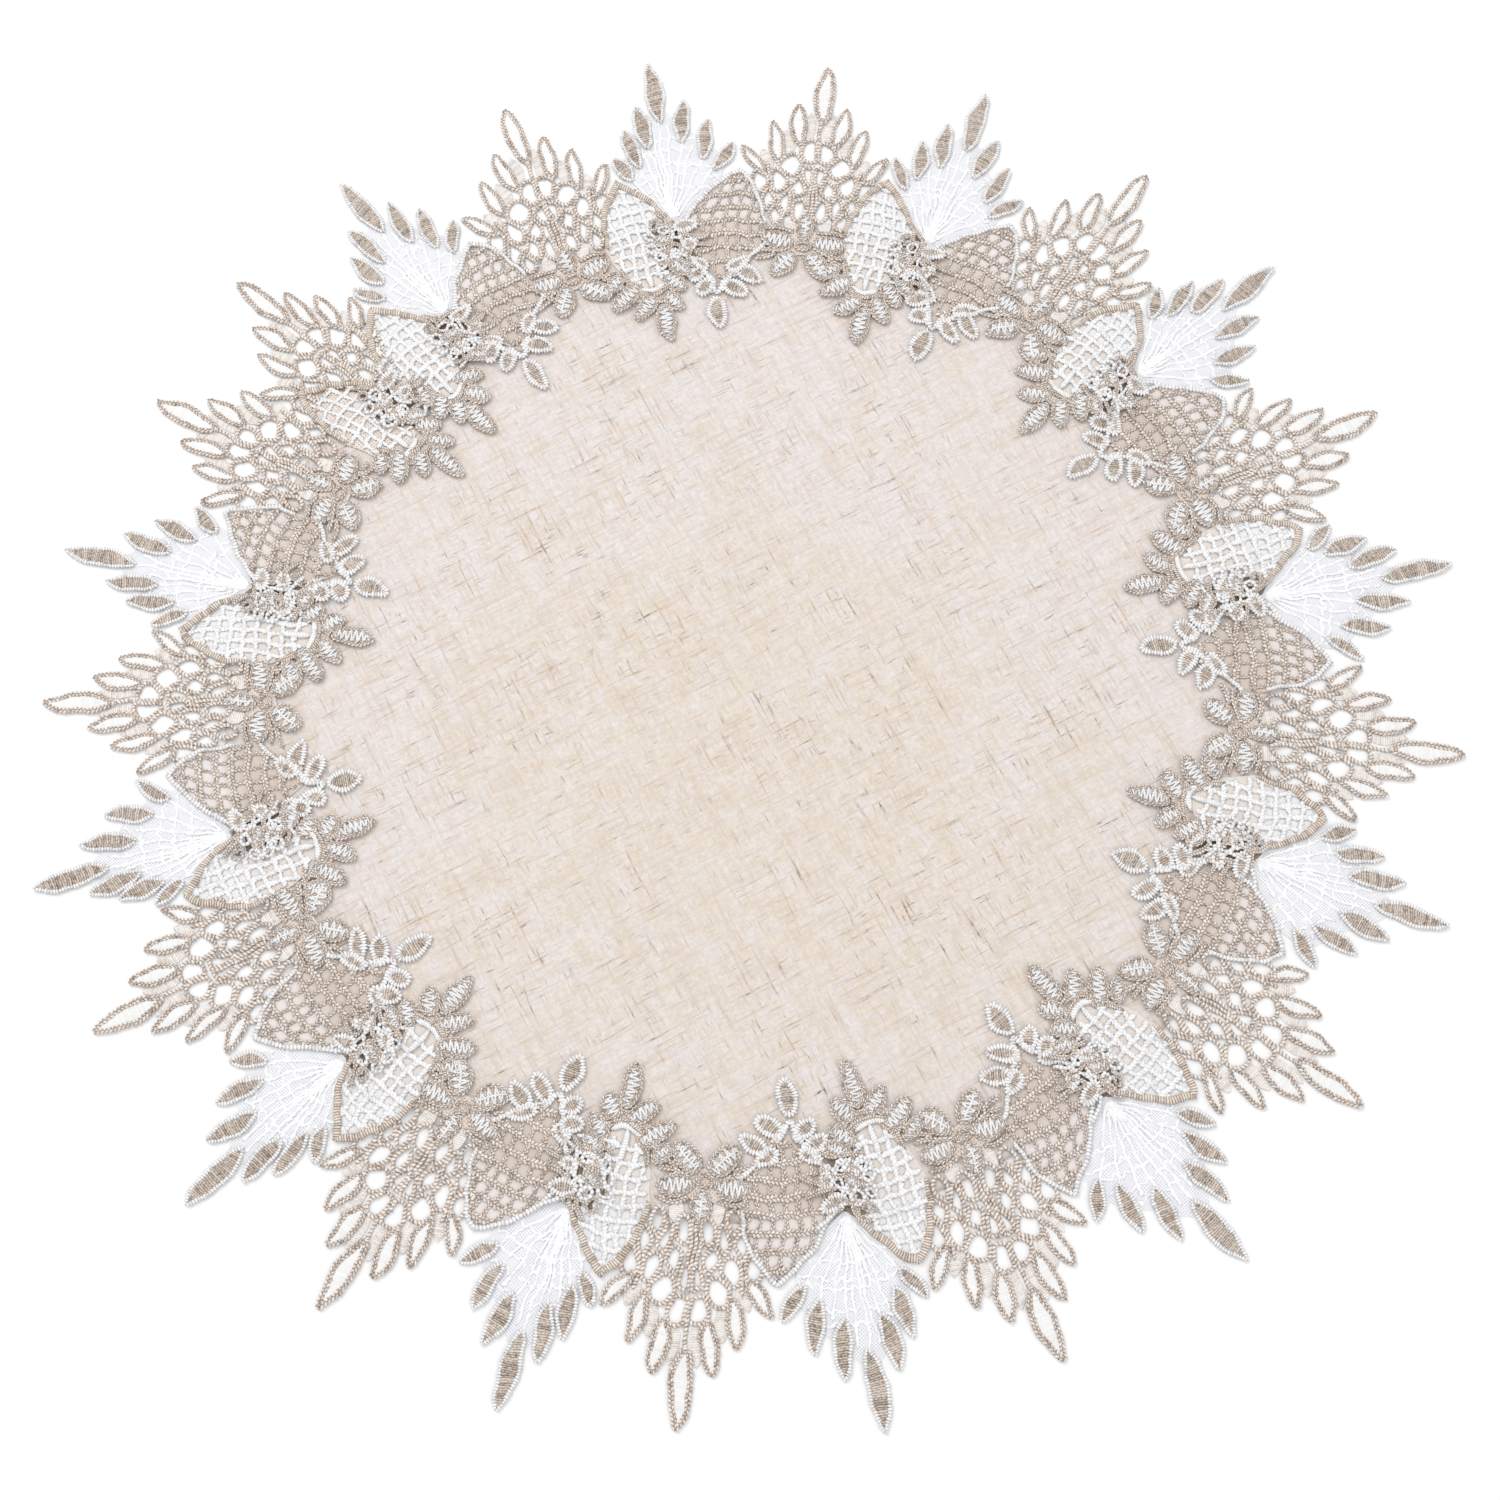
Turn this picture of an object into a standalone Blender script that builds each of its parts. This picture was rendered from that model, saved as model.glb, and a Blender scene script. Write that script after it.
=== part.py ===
"""A round table doily: a plain woven linen disc framed by one strip of gathered two-colour lace.

Metres, +Z up. The origin is the middle of the linen's underside, which rests on the surface, and +Y points
to the top of the doily as it is seen. Angles round the doily are in degrees, clockwise from +Y. The tables
give lengths in millimetres, and MM turns them into metres.

The lace strip runs round the doily as 25 motifs: taupe fans and white leaves by turns, with two fans side
by side where the ends of the strip overlap. A pointed pod lies after each motif, and a crown of leaflets
hangs inward from each pod, over the linen.
"""

from collections import namedtuple
from math import cos, pi, radians, sin

import bmesh
import bpy

MM = 0.001

LINEN_RADIUS = 146.0
LINEN_THICKNESS = 1.0
LINEN_SIDES = 96
LINEN_WAVE = 0.4          # how far the cut edge wanders in and out
LINEN_WAVES = 7

LACE_THICKNESS = 1.4
LACE_STEP = 1.3           # height of the lace that lies on the linen: the linen and a 0.3 mm gap
NET_INNER_RADIUS = 147.2  # the net that lies on the surface stops here, just outside the linen
NET_INNER_SIDES = 48
DESIGN_TIP = 201.0        # tip radius of the motif that the tables below describe

PLEAT_LENGTH = 15.0
PLEAT_WIDTH = 4.6
PLEAT_TOP = 3.7           # height of a pleat's crest above the surface
PLEAT_CREST = 0.45        # size of the crest as a share of the pleat's foot

# One row for each motif of the strip: its kind, the angle and radius of its tip, the angle of the point of
# the pod that follows it, and the angle of the tip of the crown below that pod.
Motif = namedtuple("Motif", "kind angle tip pod crown")
STRIP = [
    Motif("fan", 6.9, 201.5, 14.5, 16.2),
    Motif("leaf", 20.7, 202.5, 28.3, 25.4),
    Motif("fan", 36.4, 202.0, 44.0, 45.1),
    Motif("leaf", 49.7, 202.5, 57.3, 55.0),
    Motif("fan", 65.2, 201.5, 73.2, 74.5),
    Motif("leaf", 79.3, 202.0, 87.2, 83.8),
    Motif("fan", 95.6, 199.5, 103.2, 105.8),
    Motif("leaf", 109.6, 200.0, 117.5, 115.4),
    Motif("fan", 125.5, 199.5, 134.0, 136.4),
    Motif("leaf", 140.3, 201.0, 148.5, 144.2),
    Motif("fan", 156.0, 198.0, 164.2, 166.2),
    Motif("leaf", 170.0, 199.5, 177.5, 175.0),
    Motif("fan", 185.4, 198.5, 193.6, 195.8),
    Motif("leaf", 198.5, 202.0, 206.0, 203.8),
    Motif("fan", 213.6, 201.0, 221.2, 222.4),
    Motif("leaf", 226.2, 203.0, 233.5, 231.0),
    Motif("fan", 241.2, 200.0, 249.0, 249.7),
    Motif("leaf", 253.6, 202.0, 261.3, 256.6),
    Motif("fan", 268.8, 198.0, 276.3, 277.8),
    Motif("leaf", 282.0, 198.5, 289.3, 285.6),
    Motif("fan", 297.0, 194.5, 304.9, 308.2),
    Motif("joint fan", 309.8, 198.0, 316.3, 316.4),
    Motif("leaf", 322.4, 200.0, 329.2, 327.0),
    Motif("fan", 338.0, 200.0, 346.0, 347.9),
    Motif("leaf", 351.2, 202.5, 358.8, 355.4),
]

# Where the outer edges of the two fans at the strip's joint meet: the end that overlaps hides the last petal
# of the fan before it.
JOINT_ANGLE = 301.9
JOINT_RADIUS = 172.0
JOINT_HIDDEN_ROWS = 3
JOINT_COVER = 162.0       # up to this radius the overlapping pod covers the left half of the next fan

# Half of a motif's outer edge, from its tip to the thread that joins it to its neighbour. across is 0 on the
# motif's axis and 1 at the point of the next pod. The other half mirrors it.
Edge = namedtuple("Edge", "across radius")
FAN_EDGE = [
    Edge(0.0, 201.0), Edge(0.125, 190.0), Edge(0.14, 184.8),
    Edge(0.31, 187.3), Edge(0.38, 181.0), Edge(0.40, 177.5),
    Edge(0.585, 180.8), Edge(0.625, 175.5), Edge(0.66, 170.0),
    Edge(0.84, 171.8), Edge(1.0, 172.2),
]
LEAF_EDGE = [
    Edge(0.0, 201.0), Edge(0.11, 195.5), Edge(0.15, 187.0), Edge(0.20, 181.5),
    Edge(0.26, 187.0), Edge(0.36, 189.3), Edge(0.44, 184.0), Edge(0.46, 178.0),
    Edge(0.64, 182.3), Edge(0.69, 177.0), Edge(0.71, 171.5),
    Edge(0.86, 173.4), Edge(1.0, 172.2),
]

# The open gaps of a fan's net, on its right half and on its axis. sides is 6 for a gap with blunt sides and
# 4 for a narrow one.
Gap = namedtuple("Gap", "across radius width height sides")
FAN_GAPS = [
    Gap(0.10, 171.5, 3.0, 5.4, 6), Gap(0.355, 166.5, 4.2, 6.0, 6), Gap(0.0, 164.5, 2.7, 5.0, 4),
    Gap(0.49, 161.0, 3.4, 5.2, 6), Gap(0.24, 159.0, 3.4, 5.8, 6), Gap(0.10, 153.2, 2.6, 5.0, 4),
    Gap(0.35, 153.2, 3.0, 5.0, 4),
]

# Points by angle from the named feature's own axis and by radius. The gap lies between two motifs, just
# outside the pod's point.
Spot = namedtuple("Spot", "turn radius")
POINT_GAP = [Spot(-1.6, 163.0), Spot(-1.1, 167.6), Spot(0.0, 170.4), Spot(1.1, 167.8), Spot(1.7, 163.4)]
WHITE_POD = [
    Spot(-4.2, 147.0), Spot(-3.0, 155.5), Spot(-1.2, 162.0), Spot(0.0, 164.0),
    Spot(1.4, 161.5), Spot(3.0, 155.5), Spot(4.6, 149.0),
]
TAUPE_POD = [
    Spot(-5.6, 149.5), Spot(-3.8, 156.0), Spot(-1.8, 161.8), Spot(0.0, 163.6),
    Spot(1.5, 160.8), Spot(2.6, 155.0), Spot(3.6, 146.5),
]
FLOWER_TOP = [Spot(-1.1, 146.0), Spot(0.1, 149.5), Spot(1.3, 146.0)]
FLOWER_FOOT = [
    Spot(-3.8, 128.5), Spot(-1.3, 128.2), Spot(0.0, 131.5), Spot(1.2, 128.3), Spot(3.5, 127.8),
    Spot(4.2, 128.8),
]
WHITE_CROWN = [
    Spot(-6.3, 123.2), Spot(-4.6, 123.4), Spot(-3.9, 122.5), Spot(-3.9, 118.3), Spot(-2.4, 118.4),
    Spot(-1.3, 119.8), Spot(-1.2, 113.0), Spot(-0.6, 109.6), Spot(0.6, 109.4), Spot(1.3, 112.5),
    Spot(1.4, 119.2), Spot(3.2, 119.2), Spot(3.4, 122.4), Spot(4.2, 124.5),
]
TAUPE_CROWN = [
    Spot(-3.2, 122.0), Spot(-1.6, 121.0), Spot(-1.4, 115.0), Spot(-0.8, 111.4), Spot(0.5, 111.0),
    Spot(1.4, 114.0), Spot(1.5, 120.0), Spot(4.2, 120.5), Spot(4.7, 123.0), Spot(6.0, 123.4),
    Spot(6.3, 126.3),
]

# The pleats that gather the strip at each leaf's foot: turn from the leaf's axis, and radius of the middle.
PLEATS = [Spot(-1.3, 138.5), Spot(0.5, 141.5)]

FLOWER_TURN = -0.4        # the flower below a fan sits a little to its left
CROWN_MARGIN = 0.3        # degrees kept between a crown and the middle of the gather beside it

TAUPE_THREAD = (0.47, 0.39, 0.31, 1.0)
LINEN_CLOTH = (0.78, 0.72, 0.66, 1.0)


def at(angle, radius):
    """The point at an angle in degrees and a radius in millimetres, in metres."""
    return radius * MM * sin(radians(angle)), radius * MM * cos(radians(angle))


def neighbour(index, step):
    """The motif that lies step places along the strip, and the turns of the circle passed on the way."""
    turns, place = divmod(index + step, len(STRIP))
    return STRIP[place], 360.0 * turns


def inset(index):
    """How far a motif stands out from the design's radius, in millimetres."""
    return STRIP[index].tip - DESIGN_TIP


def pod_inset(index):
    """The same for the pod after a motif, halfway between the motifs beside it."""
    following, _ = neighbour(index, 1)
    return (inset(index) + following.tip - DESIGN_TIP) / 2


def is_joint(index):
    """Whether a motif is the one that begins at the strip's joint."""
    return STRIP[index % len(STRIP)].kind == "joint fan"


def motif_point(index, across, radius):
    """A point of a motif: across runs from -1 at the pod before it, over 0 at its axis, to 1 at its own pod."""
    motif = STRIP[index]
    if across >= 0:
        reach, stands_out = motif.pod - motif.angle, pod_inset(index)
    elif is_joint(index):
        reach, stands_out = motif.angle - JOINT_ANGLE, inset(index)
    else:
        before, turn = neighbour(index, -1)
        reach, stands_out = motif.angle - before.pod - turn, pod_inset(index - 1)
    share = abs(across)
    offset = (1 - share) * inset(index) + share * stands_out
    return at(motif.angle + across * reach, radius + offset)


def motif_edge(index):
    """The outer edge of one motif, clockwise, ending at the thread that joins it to the next."""
    rows = FAN_EDGE if is_fan(index) else LEAF_EDGE
    before = [motif_point(index, -row.across, row.radius) for row in reversed(rows[1:-1])]
    if is_joint(index + 1):
        after = [motif_point(index, row.across, row.radius) for row in rows[:-JOINT_HIDDEN_ROWS]]
        return before + after + [at(JOINT_ANGLE, JOINT_RADIUS)]
    return before + [motif_point(index, row.across, row.radius) for row in rows]


def gap_outline(index, gap, side):
    """One gap of a fan's net: a ring of points round its middle, longer along the fan than across it."""
    x, y = motif_point(index, side * gap.across, gap.radius)
    axis = radians(STRIP[index].angle + side * gap.across * 4.0)
    points = []
    for corner in range(gap.sides):
        turn = 2 * pi * corner / gap.sides
        right = gap.width / 2 * sin(turn) * MM * (1.12 if gap.sides == 6 else 1.0)
        out = gap.height / 2 * cos(turn) * MM
        points.append((x + right * cos(axis) + out * sin(axis), y - right * sin(axis) + out * cos(axis)))
    return points


def spots(rows, angle, stands_out, before=1.0, after=1.0):
    """Rows of Spot set round an angle. before and after scale the turns on either side of it."""
    points = []
    for row in rows:
        turn = row.turn * (before if row.turn < 0 else after)
        points.append(at(angle + turn, row.radius + stands_out))
    return points


def is_fan(index):
    """Whether a motif is a fan, with a white pod after it, and not a leaf, with a taupe one."""
    return STRIP[index].kind != "leaf"


def has_flower(index):
    """The flower of the fan at the strip's joint is covered by the end that overlaps it."""
    return STRIP[index].kind == "fan"


def crown_room(index, side):
    """Degrees that a crown has towards the crown before (-1) or after (1) it, or None beside a flower."""
    if side < 0:
        if has_flower(index):
            return None
        other, turn = neighbour(index, -1)
        return (STRIP[index].crown - other.crown - turn) / 2
    other, turn = neighbour(index, 1)
    if has_flower((index + 1) % len(STRIP)):
        return None
    return (other.crown + turn - STRIP[index].crown) / 2


def crown_scale(index, side, rows):
    """The share by which a crown's side is drawn in so that it stays clear of its neighbour."""
    room = crown_room(index, side)
    if room is None:
        return 1.0
    reach = max(side * row.turn for row in rows)
    return min(1.0, (room - CROWN_MARGIN) / reach)


def pod_edge(index):
    """The outer edge of the raised band at one motif: its flower's top, then the pod after it."""
    motif = STRIP[index]
    points = []
    if has_flower(index):
        points += spots(FLOWER_TOP, motif.angle + FLOWER_TURN, inset(index))
    rows = WHITE_POD if is_fan(index) else TAUPE_POD
    return points + spots(rows, motif.pod, pod_inset(index))


def crown_edge(index):
    """The inner edge of the raised band at one motif: its flower's foot, then the crown after it."""
    motif = STRIP[index]
    points = []
    if has_flower(index):
        points += spots(FLOWER_FOOT, motif.angle + FLOWER_TURN, inset(index))
    rows = WHITE_CROWN if is_fan(index) else TAUPE_CROWN
    before, after = crown_scale(index, -1, rows), crown_scale(index, 1, rows)
    return points + spots(rows, motif.crown, pod_inset(index), before, after)


def every_motif(edge):
    """The points of an edge function for the whole strip, joined into one ring."""
    return [point for index in range(len(STRIP)) for point in edge(index)]


def circle(radius, sides, wave=0.0, waves=0):
    """A ring of points whose radius rises and falls by wave, waves times round."""
    turns = [360.0 * side / sides for side in range(sides)]
    return [at(turn, radius + wave * sin(radians(turn * waves))) for turn in turns]


def net_gaps():
    """Every open gap of the net: those of the fans, and the one outside each pod's point."""
    gaps = []
    for index, motif in enumerate(STRIP):
        if not is_joint(index + 1):
            gaps.append(spots(POINT_GAP, motif.pod, pod_inset(index)))
        if not is_fan(index):
            continue
        for gap in FAN_GAPS:
            covered = is_joint(index) and gap.radius < JOINT_COVER
            sides = (1,) if gap.across == 0 or covered else (-1, 1)
            gaps += [gap_outline(index, gap, side) for side in sides]
    return gaps


def clear_scene():
    """Remove every object that the scene starts with."""
    for old in list(bpy.data.objects):
        bpy.data.objects.remove(old, do_unlink=True)


def collection(name):
    """A new collection in the scene."""
    made = bpy.data.collections.new(name)
    bpy.context.scene.collection.children.link(made)
    return made


def material(name, colour, roughness):
    """A cloth or thread material: a plain colour, not metallic."""
    made = bpy.data.materials.new(name)
    made.use_nodes = True
    shader = made.node_tree.nodes["Principled BSDF"]
    shader.inputs["Base Color"].default_value = colour
    shader.inputs["Roughness"].default_value = roughness
    shader.inputs["Metallic"].default_value = 0.0
    return made


def plate(name, rings, bottom, thickness, home):
    """A flat plate from closed rings of points: a filled 2D curve, extruded, made a mesh and welded."""
    curve = bpy.data.curves.new(name, "CURVE")
    curve.dimensions = "2D"
    curve.fill_mode = "BOTH"
    curve.extrude = thickness * MM / 2
    for ring in rings:
        spline = curve.splines.new("POLY")
        spline.points.add(len(ring) - 1)
        for point, (x, y) in zip(spline.points, ring):
            point.co = (x, y, 0.0, 1.0)
        spline.use_cyclic_u = True
    outline = bpy.data.objects.new(name + "_outline", curve)
    outline.location.z = (bottom + thickness / 2) * MM
    home.objects.link(outline)
    bpy.context.view_layer.update()
    evaluated = outline.evaluated_get(bpy.context.evaluated_depsgraph_get())
    mesh = bpy.data.meshes.new_from_object(evaluated)
    solid = bpy.data.objects.new(name, mesh)
    solid.matrix_world = outline.matrix_world
    home.objects.link(solid)
    bpy.data.objects.remove(outline, do_unlink=True)
    bpy.data.curves.remove(curve)
    weld(mesh)
    return solid


def weld(mesh):
    """Close a filled curve's caps onto its walls, with every face pointing out."""
    work = bmesh.new()
    work.from_mesh(mesh)
    bmesh.ops.remove_doubles(work, verts=work.verts, dist=0.00001)
    bmesh.ops.recalc_face_normals(work, faces=work.faces)
    work.to_mesh(mesh)
    work.free()


def pleats(home):
    """The folds that gather the strip: low hipped ridges on the raised band at each leaf's foot."""
    foot = LACE_STEP + LACE_THICKNESS / 2
    work = bmesh.new()
    for index, motif in enumerate(STRIP):
        if is_fan(index):
            continue
        for row in PLEATS:
            angle = motif.angle + row.turn
            made = bmesh.ops.create_cube(work, size=1.0)["verts"]
            for vert in made:
                share = PLEAT_CREST if vert.co.z > 0 else 1.0
                right = vert.co.x * PLEAT_WIDTH * share
                out = vert.co.y * PLEAT_LENGTH * share + row.radius + inset(index)
                x, y = at(angle, out)
                vert.co.x = x + right * MM * cos(radians(angle))
                vert.co.y = y - right * MM * sin(radians(angle))
                vert.co.z = (PLEAT_TOP if vert.co.z > 0 else foot) * MM
    bmesh.ops.recalc_face_normals(work, faces=work.faces)
    mesh = bpy.data.meshes.new("pleats")
    work.to_mesh(mesh)
    work.free()
    solid = bpy.data.objects.new("pleats", mesh)
    home.objects.link(solid)
    return solid


def join_to(solid, guide):
    """Unite a guide with a solid, and keep the guide out of the model."""
    union = solid.modifiers.new("with " + guide.name, "BOOLEAN")
    union.operation = "UNION"
    union.solver = "EXACT"
    union.object = guide
    guide.hide_render = True
    guide.display_type = "WIRE"


def build_linen(parts):
    """The linen centre: one flat disc whose cut edge wanders slightly."""
    ring = circle(LINEN_RADIUS, LINEN_SIDES, LINEN_WAVE, LINEN_WAVES)
    linen = plate("linen_centre", [ring], 0.0, LINEN_THICKNESS, parts)
    linen.data.materials.append(material("linen_cloth", LINEN_CLOTH, 0.9))
    return linen


def build_lace(parts, guides):
    """The lace strip: a net that lies on the surface, and a raised band of pods and crowns on the linen."""
    net_rings = [every_motif(motif_edge), circle(NET_INNER_RADIUS, NET_INNER_SIDES)] + net_gaps()
    lace = plate("lace_border", net_rings, 0.0, LACE_THICKNESS, parts)
    band_rings = [every_motif(pod_edge), every_motif(crown_edge)]
    band = plate("pod_band", band_rings, LACE_STEP, LACE_THICKNESS, guides)
    join_to(lace, band)
    join_to(lace, pleats(guides))
    lace.data.materials.append(material("lace_thread", TAUPE_THREAD, 0.7))
    return lace


def main():
    clear_scene()
    parts = collection("lace_doily")
    guides = collection("guides")
    build_linen(parts)
    build_lace(parts, guides)


main()
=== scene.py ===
"""The looks of a round table doily: a slubby linen centre and a gathered border of two-colour thread lace.

Tables give angles in degrees, clockwise from the doily's top (+Y), and lengths in millimetres. Meshes are in
metres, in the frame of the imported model, whose two solids the pieces made here stand for.
"""

import logging
from dataclasses import dataclass, field, fields, replace
from enum import Enum
from math import cos, pi, radians, sin
from typing import Iterable, Optional, Protocol, Sequence

import bpy
import numpy as np
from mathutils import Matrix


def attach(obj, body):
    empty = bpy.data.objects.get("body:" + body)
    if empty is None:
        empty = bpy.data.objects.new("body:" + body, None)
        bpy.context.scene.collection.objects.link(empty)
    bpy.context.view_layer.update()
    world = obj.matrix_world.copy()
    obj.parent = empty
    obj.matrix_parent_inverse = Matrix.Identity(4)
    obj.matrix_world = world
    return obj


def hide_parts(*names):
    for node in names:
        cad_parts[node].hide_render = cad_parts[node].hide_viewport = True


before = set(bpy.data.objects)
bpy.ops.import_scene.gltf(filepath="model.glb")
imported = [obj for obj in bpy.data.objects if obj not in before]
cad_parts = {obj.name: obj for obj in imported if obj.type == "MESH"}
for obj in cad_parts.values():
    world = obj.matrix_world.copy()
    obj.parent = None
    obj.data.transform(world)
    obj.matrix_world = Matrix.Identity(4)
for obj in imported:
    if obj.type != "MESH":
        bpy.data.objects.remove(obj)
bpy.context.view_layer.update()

LOG = logging.getLogger("doily")
MM = 0.001
Array = np.ndarray
Socket = bpy.types.NodeSocket
Triple = tuple[float, float, float]
Rows = tuple[tuple[float, float], ...]
Value = Socket | float | Triple


# ------------------------------------------------------------------------------------------ strip layout


class MotifKind(Enum):
    """The kinds of motif along the strip: fans and leaves by turns, and one more fan at the strip's joint."""

    FAN = "fan"
    LEAF = "leaf"
    JOINT_FAN = "joint fan"


@dataclass(frozen=True)
class Motif:
    """One motif of the strip: the angle and radius of its tip, and the angles of the tips of the pod and of
    the crown of leaflets that follow it."""

    kind: MotifKind
    angle: float
    tip: float
    pod: float
    crown: float

    @property
    def is_fan(self) -> bool:
        """Whether the motif is a taupe fan, with a white pod after it."""
        return self.kind is not MotifKind.LEAF

    @property
    def has_flower(self) -> bool:
        """Whether the flower at the motif's foot shows: the strip's overlap hides one."""
        return self.kind is MotifKind.FAN


FAN, LEAF, JOINT = MotifKind.FAN, MotifKind.LEAF, MotifKind.JOINT_FAN
STRIP: tuple[Motif, ...] = (
    Motif(FAN, 6.9, 201.5, 14.5, 16.2),
    Motif(LEAF, 20.7, 202.5, 28.3, 25.4),
    Motif(FAN, 36.4, 202.0, 44.0, 45.1),
    Motif(LEAF, 49.7, 202.5, 57.3, 55.0),
    Motif(FAN, 65.2, 201.5, 73.2, 74.5),
    Motif(LEAF, 79.3, 202.0, 87.2, 83.8),
    Motif(FAN, 95.6, 199.5, 103.2, 105.8),
    Motif(LEAF, 109.6, 200.0, 117.5, 115.4),
    Motif(FAN, 125.5, 199.5, 134.0, 136.4),
    Motif(LEAF, 140.3, 201.0, 148.5, 144.2),
    Motif(FAN, 156.0, 198.0, 164.2, 166.2),
    Motif(LEAF, 170.0, 199.5, 177.5, 175.0),
    Motif(FAN, 185.4, 198.5, 193.6, 195.8),
    Motif(LEAF, 198.5, 202.0, 206.0, 203.8),
    Motif(FAN, 213.6, 201.0, 221.2, 222.4),
    Motif(LEAF, 226.2, 203.0, 233.5, 231.0),
    Motif(FAN, 241.2, 200.0, 249.0, 249.7),
    Motif(LEAF, 253.6, 202.0, 261.3, 256.6),
    Motif(FAN, 268.8, 198.0, 276.3, 277.8),
    Motif(LEAF, 282.0, 198.5, 289.3, 285.6),
    Motif(FAN, 297.0, 194.5, 304.9, 308.2),
    Motif(JOINT, 309.8, 198.0, 316.3, 316.4),
    Motif(LEAF, 322.4, 200.0, 329.2, 327.0),
    Motif(FAN, 338.0, 200.0, 346.0, 347.9),
    Motif(LEAF, 351.2, 202.5, 358.8, 355.4),
)
# The radius of a tip in the design, which a motif stands out from by the difference of its own tip.
DESIGN_TIP = 201.0
# The angle where the joint fan begins, and the angle and outward shift of the fold at its foot.
JOINT_ANGLE = 301.9
JOINT_FOLD = (310.6, -3.0)
# How far a flower is turned from its fan's axis.
FLOWER_TURN = -0.4
LINEN_RADIUS = 146.0


def ring_point(angle: Array, radius: Array) -> Array:
    """Points of the doily's plane, in millimetres.

    Args:
        angle: degrees clockwise from the top.
        radius: millimetres from the middle.

    Returns:
        x and y in the last axis: radius times the sine and the cosine of the angle.
    """
    turn = np.radians(np.asarray(angle, float))
    radius = np.asarray(radius, float)
    return np.stack(np.broadcast_arrays(radius * np.sin(turn), radius * np.cos(turn)), axis=-1)


class Seat(Protocol):
    """Anything that places a feature's own coordinates on the doily's plane."""

    def place(self, across: Array, radius: Array) -> Array:
        """Place points of the feature.

        Args:
            across: how far each is to the side, in the seat's own unit.
            radius: how far out each is in the design, in millimetres.

        Returns:
            x and y in the last axis, in millimetres.
        """
        ...


@dataclass(frozen=True)
class TurnSeat:
    """A stiff seat: across is in degrees from the seat's own angle, and the radius is shifted by stands_out.
    before and after scale the turns on either side, where a neighbour leaves little room."""

    angle: float
    stands_out: float
    before: float = 1.0
    after: float = 1.0

    def place(self, across: Array, radius: Array) -> Array:
        """Place degrees and radii round the seat's angle."""
        across = np.asarray(across, float)
        turn = np.where(across < 0, across * self.before, across * self.after)
        return ring_point(self.angle + turn, np.asarray(radius, float) + self.stands_out)


@dataclass(frozen=True)
class SpanSeat:
    """A motif's seat: across is -1 at the pod before it, 0 at its axis and 1 at its own pod, and both the
    turn and the outward shift change evenly between those three."""

    turns: tuple[float, float, float]
    shifts: tuple[float, float, float]

    def place(self, across: Array, radius: Array) -> Array:
        """Place shares of the reach to each pod, and radii of the design."""
        knots = (-1.0, 0.0, 1.0)
        angle = np.interp(across, knots, self.turns)
        return ring_point(angle, np.asarray(radius, float) + np.interp(across, knots, self.shifts))


@dataclass(frozen=True)
class PodSeat:
    """A pod's seat: across is in millimetres from its middle line, which runs from the pod's point towards
    the crown below it, and reaches lean of the way there."""

    point: float
    crown: float
    stands_out: float
    lean: float = 0.5
    top: float = 163.0
    run: float = 15.0

    def place(self, across: Array, radius: Array) -> Array:
        """Place millimetres beside the middle line, at a radius of the design."""
        radius = np.asarray(radius, float)
        share = self.lean * np.clip((self.top - radius) / self.run, 0.0, 1.0)
        turn = self.point + (self.crown - self.point) * share
        return ring_point(turn + np.degrees(np.asarray(across, float) / radius), radius + self.stands_out)


@dataclass(frozen=True)
class StripLayout:
    """Where each feature of the strip sits."""

    motifs: tuple[Motif, ...] = STRIP
    crown_margin: float = 0.3

    def at(self, index: int) -> tuple[Motif, float]:
        """A motif by its place along the strip, and the degrees of whole turns passed on the way to it."""
        turns, place = divmod(index, len(self.motifs))
        return self.motifs[place], 360.0 * turns

    def shift(self, index: int) -> float:
        """How far a motif stands out from the design's radius."""
        return self.at(index)[0].tip - DESIGN_TIP

    def pod_shift(self, index: int) -> float:
        """The same for the pod after a motif, halfway between the motifs beside it."""
        return (self.shift(index) + self.shift(index + 1)) / 2

    def motif_seat(self, index: int) -> SpanSeat:
        """The seat of a fan or leaf.

        Args:
            index: the motif's place.

        Returns:
            A seat between the pods beside it, or, for the joint fan, from the joint to its own pod.
        """
        motif, _ = self.at(index)
        before, turn = self.at(index - 1)
        start, start_shift = before.pod + turn, self.pod_shift(index - 1)
        if motif.kind is MotifKind.JOINT_FAN:
            start, start_shift = JOINT_ANGLE, self.shift(index)
        return SpanSeat(
            (start, motif.angle, motif.pod), (start_shift, self.shift(index), self.pod_shift(index))
        )

    def before_joint(self, index: int) -> bool:
        """Whether the motif after this one is the joint fan."""
        return self.at(index + 1)[0].kind is MotifKind.JOINT_FAN

    def foot_seat(self, index: int, turn: float = 0.0) -> TurnSeat:
        """The seat of the flower or gather at a motif's foot, turned a little from the motif's axis."""
        return TurnSeat(self.at(index)[0].angle + turn, self.shift(index))

    def pod_seat(self, index: int) -> PodSeat:
        """The seat of the pod after a motif."""
        motif, _ = self.at(index)
        return PodSeat(motif.pod, motif.crown, self.pod_shift(index))

    def crown_seat(self, index: int, reach_before: float, reach_after: float) -> TurnSeat:
        """The seat of the crown after a motif.

        Args:
            index: the motif's place.
            reach_before: degrees that the crown's design reaches anticlockwise.
            reach_after: the same clockwise.

        Returns:
            A seat that draws a side in where the crown beside it is near.
        """
        motif, _ = self.at(index)
        before, turn_before = self.at(index - 1)
        following, turn_after = self.at(index + 1)
        scale_before = scale_after = 1.0
        if not motif.has_flower:
            room = (motif.crown - before.crown - turn_before) / 2 - self.crown_margin
            scale_before = min(1.0, room / reach_before)
        if not following.has_flower:
            room = (following.crown + turn_after - motif.crown) / 2 - self.crown_margin
            scale_after = min(1.0, room / reach_after)
        return TurnSeat(motif.crown, self.pod_shift(index), scale_before, scale_after)


# -------------------------------------------------------------------------------------- how the lace lies


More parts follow.
